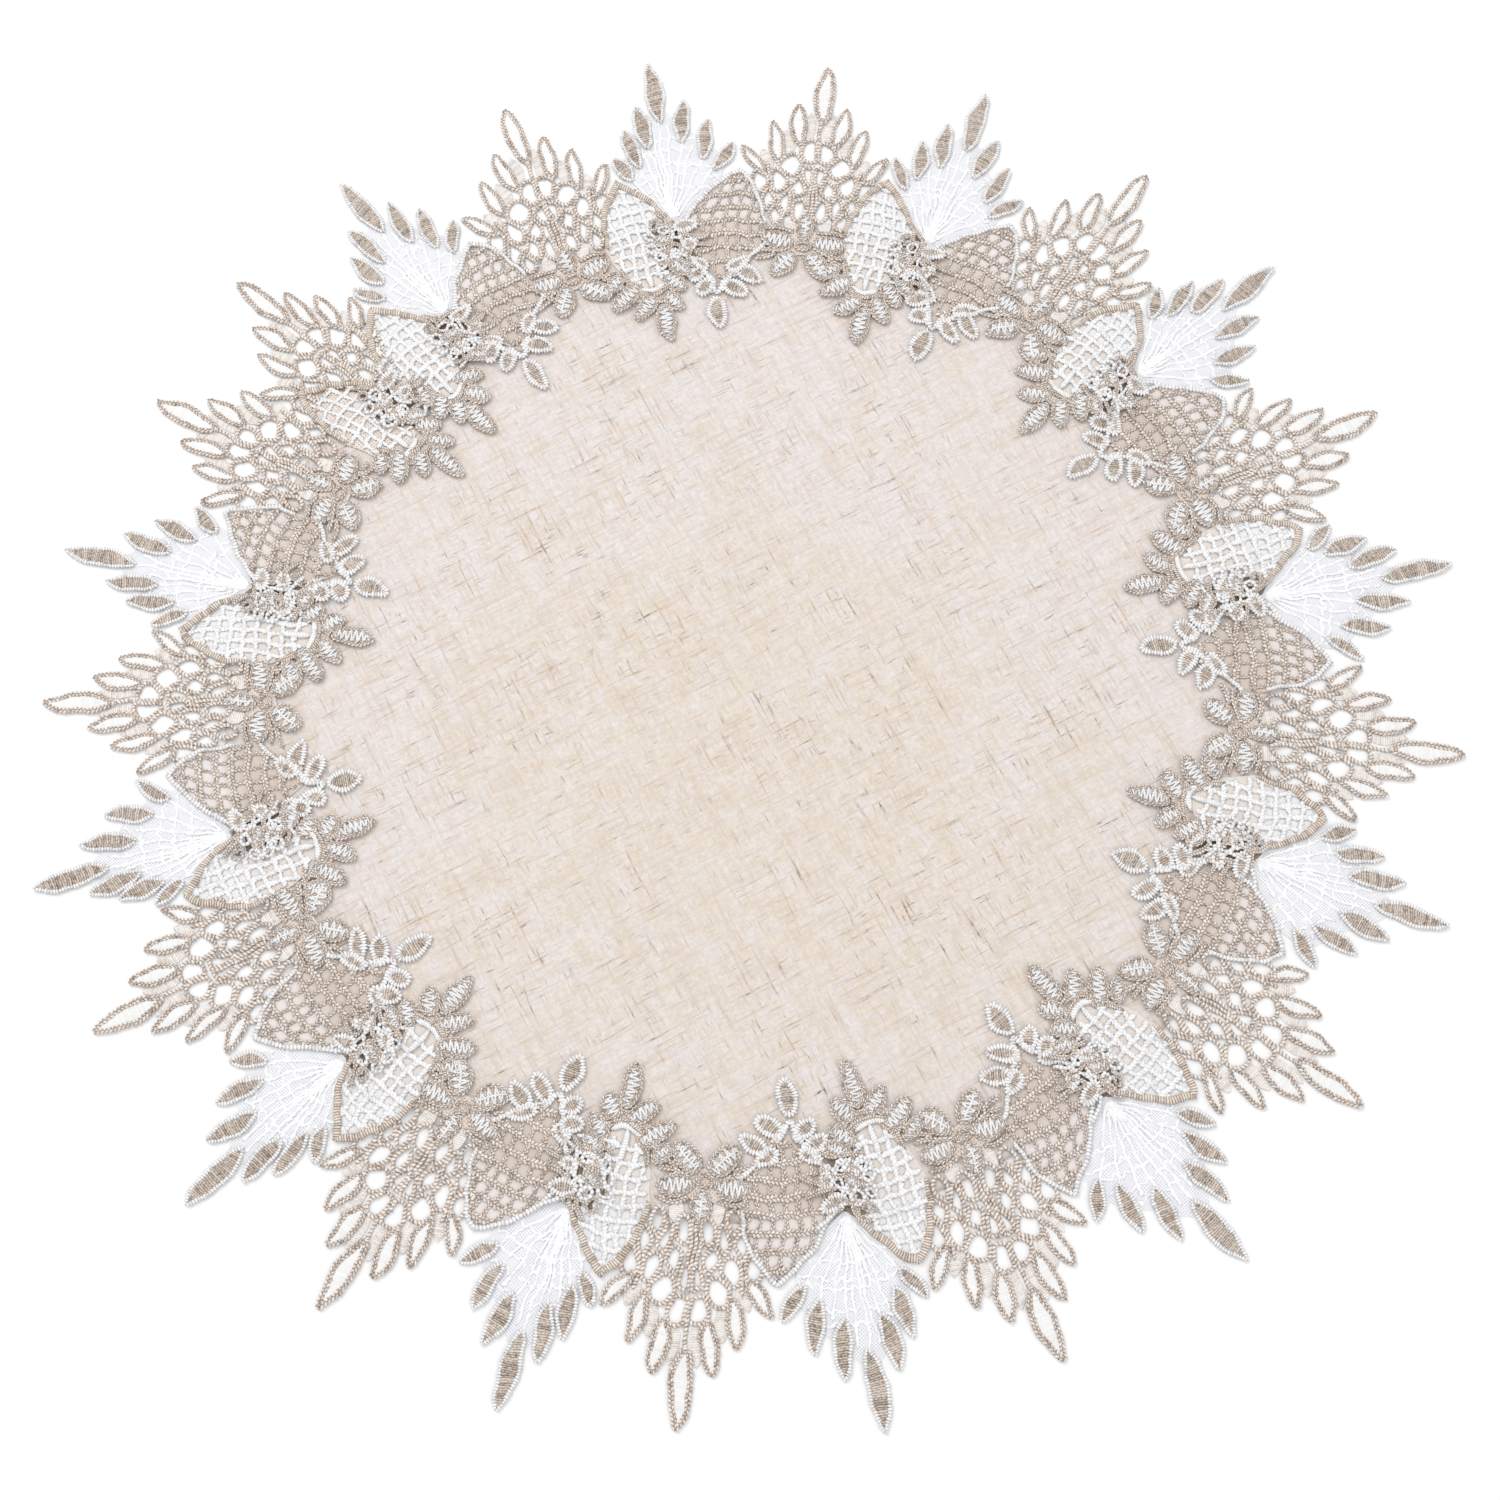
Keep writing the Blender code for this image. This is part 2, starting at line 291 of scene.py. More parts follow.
@dataclass(frozen=True)
class Lie:
    """The height at which the lace lies: low on the surface, up a short slope onto the linen's rim, and over
    a hump at each gather. A slow wander and a low roll keep the thread work from looking ruled."""

    layout: StripLayout
    low: float = 0.15
    rise: float = 0.95
    slope_outer: float = 150.5
    slope_inner: float = 145.5
    hump: float = 1.25
    hump_across: float = 2.3
    hump_along: float = 8.5
    hump_radius: float = 140.0
    hump_turn: float = -0.3
    wander: float = 0.26
    roll: float = 0.06

    def moved(self, plane: Array) -> Array:
        """Move points a little, by sines of their own x and y with long, unlike wavelengths.

        Args:
            plane: x and y in the last axis.

        Returns:
            The moved points.
        """
        x, y = plane[..., 0], plane[..., 1]
        dx = np.sin(0.43 * y + 0.21 * x) + 0.7 * np.sin(0.91 * y - 0.37 * x + 1.7)
        dy = np.sin(0.47 * x - 0.19 * y + 0.6) + 0.7 * np.sin(0.83 * x + 0.41 * y + 2.9)
        return plane + self.wander * np.stack([dx, dy], axis=-1)

    def height(self, plane: Array) -> Array:
        """The lace's underside above the surface: a smooth step in the radius, a bell at each gather that is
        narrow across the radius and long along it, and a roll of slow sines.

        Args:
            plane: x and y in the last axis.

        Returns:
            The height at each point.
        """
        x, y = plane[..., 0], plane[..., 1]
        radius = np.hypot(x, y)
        share = np.clip((self.slope_outer - radius) / (self.slope_outer - self.slope_inner), 0.0, 1.0)
        lift = self.low + self.rise * share * share * (3.0 - 2.0 * share)
        for index, motif in enumerate(self.layout.motifs):
            if motif.is_fan:
                continue
            middle = ring_point(motif.angle + self.hump_turn, self.hump_radius + self.layout.shift(index))
            turn = radians(motif.angle)
            across = (x - middle[0]) * cos(turn) - (y - middle[1]) * sin(turn)
            along = (x - middle[0]) * sin(turn) + (y - middle[1]) * cos(turn)
            bell = (across / self.hump_across) ** 2 + (along / self.hump_along) ** 2
            lift = lift + self.hump * np.exp(-bell)
        return lift + self.roll * np.sin(0.31 * x) * np.sin(0.27 * y + 1.0)


# ------------------------------------------------------------------------------------------ thread meshes


@dataclass(frozen=True)
class Stitching:
    """How one kind of column is stitched.

    pitch is the length of a stitch along the column, step the distance between the rings of its surface,
    tooth the share by which every second ring is narrower, plait the share by which the two sides are drawn
    in by turns, and unevenness the spread of the rings' sizes. A toothed or plaited column has one stitch to
    two rings.
    """

    width: float
    height: float
    pitch: float = 0.7
    step: float = 1.25
    tooth: float = 0.0
    plait: float = 0.0
    unevenness: float = 0.07

    @property
    def notched(self) -> bool:
        """Whether the column's edge shows its stitches."""
        return self.tooth > 0.0 or self.plait > 0.0


# A column's section has six points, set by their turn round it, and two quads close it at an open end. Its
# underside is a share of the height above. An open end starts at a share of the size, which grows with the
# distance in millimetres over END_RUN.
SECTION_TURNS = np.radians([-18.0, 38.0, 90.0, 142.0, 198.0, 270.0])
SECTION_QUADS = np.array([[0, 1, 2, 3], [0, 3, 4, 5]])
UNDERSIDE_SHARE = 0.6
END_SHARE = 0.35
END_RUN = 0.9


def arc_lengths(path: Array, closed: bool) -> Array:
    """Distance along a polyline at each of its points, with the closing step's end added if it is closed."""
    points = np.vstack([path, path[:1]]) if closed else path
    return np.concatenate([[0.0], np.cumsum(np.linalg.norm(np.diff(points, axis=0), axis=1))])


def along_path(path: Array, stations: Array, closed: bool) -> Array:
    """Read a polyline.

    Args:
        path: its points.
        stations: distances along it.
        closed: whether it is a ring.

    Returns:
        The points at those distances.
    """
    points = np.vstack([path, path[:1]]) if closed else path
    lengths = arc_lengths(path, closed)
    return np.stack([np.interp(stations, lengths, points[:, axis]) for axis in range(2)], axis=-1)


def smooth_path(points: Array, steps: int = 8) -> Array:
    """A smooth curve through a few points: on each span, the cubic whose slopes at the ends are half the step
    between the neighbours of each end.

    Args:
        points: the points.
        steps: steps on each span.

    Returns:
        The curve's points.
    """
    points = np.asarray(points, float)
    ends = np.vstack([2 * points[0] - points[1], points, 2 * points[-1] - points[-2]])
    share = np.linspace(0.0, 1.0, steps, endpoint=False)[:, None]
    p0, p1, p2, p3 = ends[:-3, None], ends[1:-2, None], ends[2:-1, None], ends[3:, None]
    curve = p1 + 0.5 * share * (p2 - p0)
    curve = curve + share**2 * (p0 - 2.5 * p1 + 2 * p2 - 0.5 * p3)
    curve = curve + share**3 * (-0.5 * p0 + 1.5 * p1 - 1.5 * p2 + 0.5 * p3)
    return np.vstack([curve.reshape(-1, points.shape[1]), points[-1:]])


def seated_path(rows: Rows | Array, seat: Seat, side: int = 1, steps: int = 8) -> Array:
    """A smooth curve through rows of across and radius in a seat, mirrored where side is -1."""
    across, radius = np.array(rows).T
    return smooth_path(seat.place(side * across, radius), steps)


def right_of(tangent: Array) -> Array:
    """Unit vectors to the right of a line's directions."""
    tangent = tangent / np.maximum(np.linalg.norm(tangent, axis=1, keepdims=True), 1e-9)
    return np.stack([tangent[:, 1], -tangent[:, 0]], axis=-1)


def read_along(values: Array, share: Array) -> Array:
    """Values spaced evenly along a path, read at shares of its length."""
    return np.interp(share, np.linspace(0.0, 1.0, len(values)), values)


def raised(plane: Array, high: Array) -> Array:
    """Points of the plane with their heights."""
    return np.concatenate([plane, high[..., None]], axis=-1)


def link_object(name: str, data: bpy.types.ID) -> bpy.types.Object:
    """A new object of the scene, at the origin."""
    made = bpy.data.objects.new(name, data)
    bpy.context.scene.collection.objects.link(made)
    return made


@dataclass
class ThreadWork:
    """Gathers the surfaces of one piece, and makes them one mesh.

    Every surface is a grid of points, and every face a four-sided one. Its map, named stitch, counts stitches
    along the work in one direction and runs from 0 to 1 across or round it in the other. Each point also
    carries tone, a random share that is the same all over one thread or petal.
    """

    name: str
    lie: Lie
    seed: int
    points: list[Array] = field(default_factory=list)
    quads: list[Array] = field(default_factory=list)
    tones: list[Array] = field(default_factory=list)
    maps: list[Array] = field(default_factory=list)
    count: int = 0

    def __post_init__(self) -> None:
        """Start the piece's own row of random numbers."""
        self.random = np.random.default_rng(self.seed)

    def add_grid(
        self, grid: Array, along: Array, across: Array, around: bool = False, closed: bool = False,
        caps: bool = False,
    ) -> None:
        """Add a surface.

        Args:
            grid: points, rows by columns by xyz, in millimetres.
            along: stitches counted at each row, with one more value if it is closed.
            across: share across at each column, with one more value if it goes around.
            around: whether the last column meets the first.
            closed: whether the last row meets the first.
            caps: whether the first and last rows are filled.
        """
        rows, columns = grid.shape[:2]
        index = np.arange(rows * columns).reshape(rows, columns)
        if around:
            index = np.hstack([index, index[:, :1]])
        if closed:
            index = np.vstack([index, index[:1]])
        chart = np.stack(np.meshgrid(along, across, indexing="ij"), axis=-1)
        low, high = slice(None, -1), slice(1, None)
        pick = ((low, low), (high, low), (high, high), (low, high))
        quads = np.stack([index[corner].ravel() for corner in pick], axis=-1)
        charts = np.stack([chart[corner].reshape(-1, 2) for corner in pick], axis=1)
        if caps:
            quads = np.vstack([quads, SECTION_QUADS, SECTION_QUADS[:, ::-1] + (rows - 1) * columns])
            ends = np.full((4, 4, 2), 0.5)
            ends[2:, :, 0] += float(along[-1])
            charts = np.vstack([charts, ends])
        self.points.append(grid.reshape(-1, 3))
        self.quads.append(quads + self.count)
        self.maps.append(charts)
        self.tones.append(np.full(rows * columns, self.random.random()))
        self.count += rows * columns

    def column(
        self, path: Array, stitching: Stitching, level: float, closed: bool = False,
        rise: Optional[Array] = None, swell: Optional[Array] = None,
    ) -> None:
        """Carry a flattened ring of six points along a path.

        The ring's half-width is half the column's width, times its own uneven size, and less by the tooth on
        every second ring, or by the plait on one side or the other. At an open end the column tapers to a
        third.

        Args:
            path: x and y of the middle line, in millimetres.
            stitching: the sizes.
            level: height of the column's middle above the lace's underside.
            closed: whether the path is a ring.
            rise: extra height, read evenly along the path.
            swell: share of the full width, read evenly along the path.
        """
        path = self.lie.moved(np.asarray(path, float))
        length = arc_lengths(path, closed)[-1]
        rings = max(4, 2 * round(length / stitching.step / 2))
        if closed:
            stations = np.arange(rings) / rings * length
        else:
            stations = np.linspace(0.0, length, rings)
        middle = along_path(path, stations, closed)
        if closed:
            tangent = np.roll(middle, -1, axis=0) - np.roll(middle, 1, axis=0)
        else:
            tangent = np.gradient(middle, axis=0)
        size = 1.0 + stitching.unevenness * self.random.standard_normal(rings)
        if swell is not None:
            size = size * read_along(swell, stations / length)
        if not closed:
            from_end = np.minimum(stations, length - stations)
            size = size * np.clip(END_SHARE + from_end / END_RUN, END_SHARE, 1.0)
        out, up = np.cos(SECTION_TURNS), np.sin(SECTION_TURNS)
        up = np.where(up < 0, up * UNDERSIDE_SHARE, up)
        second = np.tile([0.0, 1.0], rings // 2)[:, None]
        notch = 1.0 - stitching.tooth * second - stitching.plait * np.where(out > 0, 1.0 - second, second)
        wide = stitching.width / 2 * size[:, None] * notch * out
        plane = middle[:, None] + wide[..., None] * right_of(tangent)[:, None]
        lift = level + self.lie.height(middle)
        if rise is not None:
            lift = lift + read_along(rise, stations / length)
        high = lift[:, None] + stitching.height / 2 * size[:, None] * up
        count = rings / 2 if stitching.notched else max(1, round(length / stitching.pitch))
        along = (np.append(stations, length) if closed else stations) / length * count
        along = along + (0.5 if stitching.notched else 0.0)
        round_it = np.linspace(0.0, 1.0, len(SECTION_TURNS) + 1)
        self.add_grid(raised(plane, high), along, round_it, around=True, closed=closed, caps=not closed)

    def lay(self, plane: Array, along: Array, level: float, extra: Array | float = 0.0) -> None:
        """Add an open surface.

        Args:
            plane: x and y of its points, rows by columns.
            along: stitches counted at each row.
            level: height above the lace's underside.
            extra: more height, point by point.
        """
        plane = self.lie.moved(plane)
        grid = raised(plane, self.lie.height(plane) + level + extra)
        self.add_grid(grid, along, np.linspace(0.0, 1.0, grid.shape[1]))

    def build(self) -> bpy.types.Object:
        """Make the mesh, in metres.

        Returns:
            Its object.
        """
        points = np.concatenate(self.points) * MM
        quads = np.concatenate(self.quads)
        mesh = bpy.data.meshes.new(self.name)
        mesh.vertices.add(len(points))
        mesh.vertices.foreach_set("co", points.astype(np.float32).ravel())
        mesh.loops.add(quads.size)
        mesh.loops.foreach_set("vertex_index", quads.astype(np.int32).ravel())
        mesh.polygons.add(len(quads))
        mesh.polygons.foreach_set("loop_start", np.arange(0, quads.size, 4, dtype=np.int32))
        mesh.update(calc_edges=True)
        chart = mesh.uv_layers.new(name="stitch")
        chart.uv.foreach_set("vector", np.concatenate(self.maps).astype(np.float32).ravel())
        tone = mesh.attributes.new("tone", "FLOAT", "POINT")
        tone.data.foreach_set("value", np.concatenate(self.tones).astype(np.float32))
        mesh.validate()
        mesh.shade_smooth()
        return link_object(self.name, mesh)


# ------------------------------------------------------------------------------------------- petal shapes


@dataclass(frozen=True)
class Petal:
    """A lens-shaped petal from its root to its tip, in its seat's coordinates. width is over its outline."""

    root_across: float
    root: float
    tip_across: float
    tip: float
    width: float

    def mirrored(self) -> "Petal":
        """The same petal on the other side of the axis."""
        return Petal(-self.root_across, self.root, -self.tip_across, self.tip, self.width)


OFF_AXIS = 0.02
LEAST_HALF_WIDTH = 0.02


def both_sides(petals: Iterable[Petal]) -> list[Petal]:
    """Add the mirror images of the petals whose tips are off the axis.

    Args:
        petals: the petals of the right side and the axis.

    Returns:
        All of them, each right one before its image.
    """
    found = []
    for petal in petals:
        found.append(petal)
        if petal.tip_across > OFF_AXIS:
            found.append(petal.mirrored())
    return found


@dataclass(frozen=True)
class Lens:
    """A petal on the doily's plane: an axis from root to tip, and a half-width along it."""

    root: Array
    tip: Array
    width: float
    fullness: float = 0.62
    widest: float = 0.92

    @classmethod
    def seated(cls, petal: Petal, seat: Seat) -> "Lens":
        """The lens of a petal in its seat."""
        return cls(
            seat.place(petal.root_across, petal.root), seat.place(petal.tip_across, petal.tip), petal.width
        )

    @property
    def length(self) -> float:
        """Length from root to tip."""
        return float(np.linalg.norm(self.tip - self.root))

    def half_width(self, share: Array, inset: float) -> Array:
        """Half the width at a share of the length: half the full width times a power of the sine of half a
        turn, with the widest place a little below the middle, less an inset."""
        wave = np.sin(np.pi * np.clip(share, 0.0, 1.0) ** self.widest)
        return np.maximum(self.width / 2 * wave**self.fullness - inset, LEAST_HALF_WIDTH)

    def points(self, share: Array, sideways: Array, inset: float = 0.0) -> Array:
        """Points of the petal.

        Args:
            share: shares of the length.
            sideways: shares of the half-width, from -1 to 1.
            inset: how far the half-width is drawn in.

        Returns:
            x and y in the last axis.
        """
        axis = (self.tip - self.root) / self.length
        side = np.array([axis[1], -axis[0]])
        out = np.asarray(sideways) * self.half_width(share, inset)
        return self.root + (share * self.length)[..., None] * axis + out[..., None] * side

    def stations(self, inset: float, count: int) -> Array:
        """Shares of the length, from an inset at one end to the same at the other, closer near the ends."""
        ends = inset / self.length
        return ends + (1.0 - 2.0 * ends) * (1.0 - np.cos(np.linspace(0.0, np.pi, count))) / 2

    def outline(self, inset: float, steps: int = 14) -> Array:
        """The closed edge.

        Args:
            inset: how far it is drawn in, also at both ends.
            steps: points of one side.

        Returns:
            Its points.
        """
        share = self.stations(inset, steps)
        right = self.points(share, np.ones(steps), inset)
        left = self.points(share[::-1], -np.ones(steps), inset)
        return np.vstack([right[:-1], left[:-1]])

    def zigzag(self, inset: float, pitch: float, end_gap: float = 0.3) -> Array:
        """A line that crosses from side to side, from the root to the tip.

        Args:
            inset: how far it stays inside the edge.
            pitch: length of a crossing and back.
            end_gap: how much more it stays inside the two ends.

        Returns:
            Its points.
        """
        strokes = max(4, round((self.length - 2 * inset) / pitch * 2))
        ends = (inset + end_gap) / self.length
        share = np.linspace(ends, 1.0 - ends, strokes + 1)
        return self.points(share, np.where(np.arange(strokes + 1) % 2, 1.0, -1.0), inset)


def share_grid(rows: Array, columns: int) -> list[Array]:
    """A grid's row values and its sideways shares, which run from 1 to -1."""
    return np.meshgrid(rows, np.linspace(1.0, -1.0, columns), indexing="ij")


@dataclass(frozen=True)
class Satin:
    """A satin filling: threads laid side by side across a petal, in a low crown."""

    pitch: float = 0.62
    crown: float = 0.4
    step: float = 1.6
    columns: int = 5

    def fill(self, work: ThreadWork, lens: Lens, inset: float, level: float) -> None:
        """Add a petal's filling.

        The grid runs along the petal and across it. Height is the level, plus the crown times one less the
        square of the sideways share.

        Args:
            work: the piece that takes it.
            lens: the petal.
            inset: how far the filling stays inside the petal's edge.
            level: height of its edge above the lace's underside.
        """
        rows = max(6, round(lens.length / self.step))
        share, sideways = share_grid(lens.stations(inset, rows), self.columns)
        count = share[:, 0] * lens.length / self.pitch
        work.lay(lens.points(share, sideways, inset), count, level, self.crown * (1.0 - sideways**2))


@dataclass(frozen=True)
class Threads:
    """The pieces that thread work goes into, by what they are and their colour."""

    fan_net: ThreadWork
    fan_webs: ThreadWork
    taupe_rims: ThreadWork
    white_satin: ThreadWork
    taupe_satin: ThreadWork
    leaf_rims: ThreadWork
    leaf_veins: ThreadWork
    leaf_ground: ThreadWork
    white_mesh: ThreadWork
    taupe_mesh: ThreadWork
    pod_rims_taupe: ThreadWork
    pod_rims_white: ThreadWork
    crown_rims_white: ThreadWork
    petal_bases: ThreadWork
    zigzags: ThreadWork
    gather_white: ThreadWork
    gather_taupe: ThreadWork
    # A dark net of painted shade, under the gathers and along the joint pod's rim.
    gather_painted_shade: ThreadWork
    band_ground: ThreadWork
    pod_ground: ThreadWork
    taupe_pod_ground: ThreadWork


class PetalStyle(Enum):
    """The ways in which petals are worked."""

    WHITE_IN_TAUPE = "flat white satin inside a taupe outline"
    ZIGZAG_IN_TAUPE = "white zigzag inside a taupe outline"
    SPINE_IN_TAUPE = "the same with a white spine"
    TAUPE_IN_WHITE = "taupe satin inside a toothed white outline"


THICK_RIM = Stitching(width=2.0, height=1.1, step=0.56, plait=0.34, unevenness=0.12)
SMOOTH_RIM = Stitching(width=1.7, height=1.0, step=0.54, plait=0.34, unevenness=0.12)
NARROW_RIM = Stitching(width=1.5, height=0.9, step=0.54, plait=0.34, unevenness=0.12)
FINE_TEETH = Stitching(width=1.3, height=0.55, step=0.4, tooth=0.5, unevenness=0.2)
TEETH = Stitching(width=2.0, height=0.7, step=0.42, tooth=0.6, unevenness=0.22)
ZIGZAG = Stitching(width=0.7, height=0.65, pitch=0.9, step=1.6)


@dataclass(frozen=True)
class PetalMaker:
    """Works petals: a filling, and an outline over its edge.

    The sinks and lifts are the heights of the fillings' edges, the zigzag and the spine below and above the
    outline's middle. The insets are shares of the outline's width.
    """

    threads: Threads
    satin: Satin = Satin()
    satin_inset: float = 0.4
    taupe_sink: float = 0.15
    white_sink: float = 0.2
    base_sink: float = 0.25
    zigzag_inset: float = 0.55
    zigzag_pitch: float = 1.65
    spined_stretch: float = 1.25
    zigzag_lift: float = 0.42
    spine_lift: float = 0.62

    def work(
        self, petal: Petal, seat: Seat, style: PetalStyle, level: float, rim: Stitching, rims: ThreadWork
    ) -> None:
        """Work one petal.

        Args:
            petal: its root, tip and width.
            seat: where it sits.
            style: its colours.
            level: height of its outline's middle above the lace's underside.
            rim: how its outline is stitched.
            rims: the piece that takes the outline.
        """
        lens = Lens.seated(petal, seat)
        inset = rim.width * self.satin_inset
        if style is PetalStyle.TAUPE_IN_WHITE:
            self.satin.fill(self.threads.taupe_satin, lens, inset, level - self.taupe_sink)
        elif style is PetalStyle.WHITE_IN_TAUPE:
            self.satin.fill(self.threads.white_satin, lens, inset, level - self.white_sink)
        else:
            self.satin.fill(self.threads.petal_bases, lens, inset, level - self.base_sink)
            spined = style is PetalStyle.SPINE_IN_TAUPE
            pitch = self.zigzag_pitch * (self.spined_stretch if spined else 1.0)
            line = lens.zigzag(rim.width * self.zigzag_inset, pitch)
            self.threads.zigzags.column(line, ZIGZAG, level + self.zigzag_lift)
            if spined:
                spine = lens.points(np.linspace(0.1, 0.9, 6), np.zeros(6), rim.width)
                self.threads.zigzags.column(spine, ZIGZAG, level + self.spine_lift)
        rims.column(lens.outline(rim.width / 2), rim, level, closed=True)


# ------------------------------------------------------------------------------------------------- motifs


@dataclass(frozen=True)
class Hole:
    """An open gap of a net: its middle in the seat's coordinates, and its size."""

    across: float
    radius: float
    width: float
    height: float

    @property
    def squash(self) -> float:
        """Width by height, but not less than a half."""
        return max(0.5, self.width / self.height)


@dataclass(frozen=True)
class Fan:
    """A taupe fan: seven white petals in taupe outlines above a net of rings, with stems between them."""

    tip_petal: Petal = Petal(0.0, 180.0, 0.0, 201.4, 7.0)
    petals: tuple[Petal, ...] = (
        Petal(0.225, 172.6, 0.30, 187.6, 5.8),
        Petal(0.475, 166.2, 0.57, 180.8, 5.3),
        Petal(0.65, 161.9, 0.95, 172.5, 4.9),
    )
    webs: tuple[Petal, ...] = (
        Petal(0.12, 173.5, 0.14, 185.0, 4.2),
        Petal(0.36, 169.0, 0.40, 178.6, 4.4),
        Petal(0.57, 163.5, 0.68, 171.0, 4.2),
        Petal(0.25, 142.6, 0.27, 150.0, 4.6),
    )
    holes: tuple[Hole, ...] = (
        Hole(0.097, 170.7, 4.0, 5.0),
        Hole(0.31, 165.9, 5.0, 5.4),
        Hole(0.465, 160.4, 3.8, 5.2),
        Hole(0.073, 163.8, 1.5, 4.2),
        Hole(0.225, 158.8, 2.2, 5.4),
        Hole(0.365, 153.2, 1.7, 4.6),
        Hole(0.165, 151.2, 1.4, 4.2),
        Hole(0.58, 154.4, 1.9, 4.0),
        Hole(0.49, 149.0, 1.5, 3.2),
        Hole(0.72, 159.6, 2.4, 4.2),
    )
    stems: tuple[Rows, ...] = (
        ((0.19, 178.0), (0.20, 175.5), (0.205, 173.0)),
        ((0.43, 173.5), (0.435, 171.5), (0.43, 169.5)),
        ((0.045, 148.0), (0.055, 155.0), (0.04, 160.5)),
        ((0.62, 166.5), (0.59, 161.5), (0.56, 157.5)),
    )
    axis_stems: tuple[Rows, ...] = (
        ((0.0, 181.0), (0.0, 172.5)),
        ((0.0, 160.5), (0.0, 149.5)),
    )
    cord: Stitching = Stitching(width=1.36, height=0.85, step=0.54, tooth=0.34, unevenness=0.16)
    web: Satin = Satin(crown=0.15)
    web_inset: float = 0.2
    covered_below: float = 156.0
    margin: float = 1.6
    inset: float = 0.42
    softness: float = -12.0
    level: float = 0.6
    petal_lift: float = 0.2
    web_sink: float = 0.45
    stem_sink: float = 0.1

    def build(self, seat: Seat, threads: Threads, covered: bool, cut_short: bool) -> None:
        """Work one fan.

        Args:
            seat: where it sits.
            threads: the pieces.
            covered: whether the pod before it lies over the foot of its left half.
            cut_short: whether the fan after it hides its last right petal.
        """
        maker = PetalMaker(threads)
        style, rims = PetalStyle.WHITE_IN_TAUPE, threads.taupe_rims
        for petal in [self.tip_petal] + both_sides(self.petals):
            if cut_short and petal is self.petals[-1]:
                continue
            rim = THICK_RIM if petal is self.tip_petal else SMOOTH_RIM
            maker.work(petal, seat, style, self.level + self.petal_lift, rim, rims)
        for web in both_sides(self.webs):
            lens = Lens.seated(web, seat)
            self.web.fill(threads.fan_webs, lens, self.web_inset, self.level - self.web_sink)
        for path in self.cells(seat, covered):
            threads.fan_net.column(path, self.cord, self.level, closed=True)
        stems = [(stem, side) for stem in self.stems for side in (-1, 1)]
        for stem, side in stems + [(stem, 1) for stem in self.axis_stems]:
            path = seated_path(stem, seat, side)
            threads.fan_net.column(path, self.cord, self.level - self.stem_sink)

    def cells(self, seat: Seat, covered: bool, steps: int = 28) -> list[Array]:
        """The rings of the net, one round each hole, that lie side by side where two holes are near.

        In a frame whose outward axis is squashed to the hole's form, its ring reaches, in each direction, a
        soft least of its own size with a margin and of the distances to the lines that part it from the
        other holes, each line shifted by the two holes' sizes. The soft least is a root of the sum of their
        powers, with softness as the power. Every ring is then drawn in by inset.

        Args:
            seat: where the fan sits.
            covered: whether the foot of its left half is left out.
            steps: points of a ring.

        Returns:
            Closed paths in millimetres.
        """
        pairs = [
            (hole, side) for hole in self.holes for side in (-1, 1)
            if not (covered and side < 0 and hole.radius < self.covered_below)
        ]
        middles = np.array([seat.place(side * hole.across, hole.radius) for hole, side in pairs])
        sizes = np.array([(hole.width + hole.squash * hole.height) / 4 for hole, _ in pairs])
        turn = np.linspace(0.0, 2 * np.pi, steps, endpoint=False)
        ways = np.stack([np.cos(turn), np.sin(turn)], axis=-1)
        paths = []
        for number, (hole, side) in enumerate(pairs):
            outward = seat.place(side * hole.across, hole.radius + 1.0) - middles[number]
            right = np.array([outward[1], -outward[0]])
            away = np.delete(middles - middles[number], number, axis=0)
            away = np.stack([away @ right, hole.squash * (away @ outward)], axis=-1)
            far = (away**2).sum(axis=1) + sizes[number] ** 2 - np.delete(sizes, number) ** 2
            lines = 0.5 * far / np.maximum(ways @ away.T, 0.01)
            own = np.full((steps, 1), sizes[number] + self.margin)
            powers = np.hstack([own, lines]) ** self.softness
            reach = powers.sum(axis=1) ** (1 / self.softness) - self.inset
            across, along = reach * np.cos(turn), reach * np.sin(turn) / hole.squash
            paths.append(middles[number] + across[:, None] * right + along[:, None] * outward)
        return paths


@dataclass(frozen=True)
class Edge:
    """The edge of a leaf or pod: its half-width at given radii, in its seat's own unit."""

    radii: tuple[float, ...]
    halves: tuple[float, ...]

    def half(self, radius: Array) -> Array:
        """The half-width at a radius."""
        return np.interp(radius, self.radii, self.halves)

    def grid(self, rows: int, columns: int, trim: float = 0.0) -> tuple[Array, Array]:
        """Points all over the inside, by radius and by the share of the half-width there.

        Args:
            rows: points along the radius.
            columns: points across.
            trim: how far they end before the outermost radius.

        Returns:
            Across and radius of the points.
        """
        radius, share = share_grid(np.linspace(self.radii[0], self.radii[-1] - trim, rows), columns)
        return share * self.half(radius), radius

    def outline(self, low: float, steps: int = 26) -> tuple[Array, Array]:
        """The edge from the low end on the left, over the point, to the low end on the right.

        Args:
            low: radius of the low ends.
            steps: points of one side.

        Returns:
            Across and radius of its points.
        """
        left = low + (self.radii[-1] - low) * np.sin(np.linspace(0.0, np.pi / 2, steps))
        radius = np.concatenate([left, left[-2::-1]])
        return np.repeat([-1.0, 1.0], [steps, steps - 1]) * self.half(radius), radius


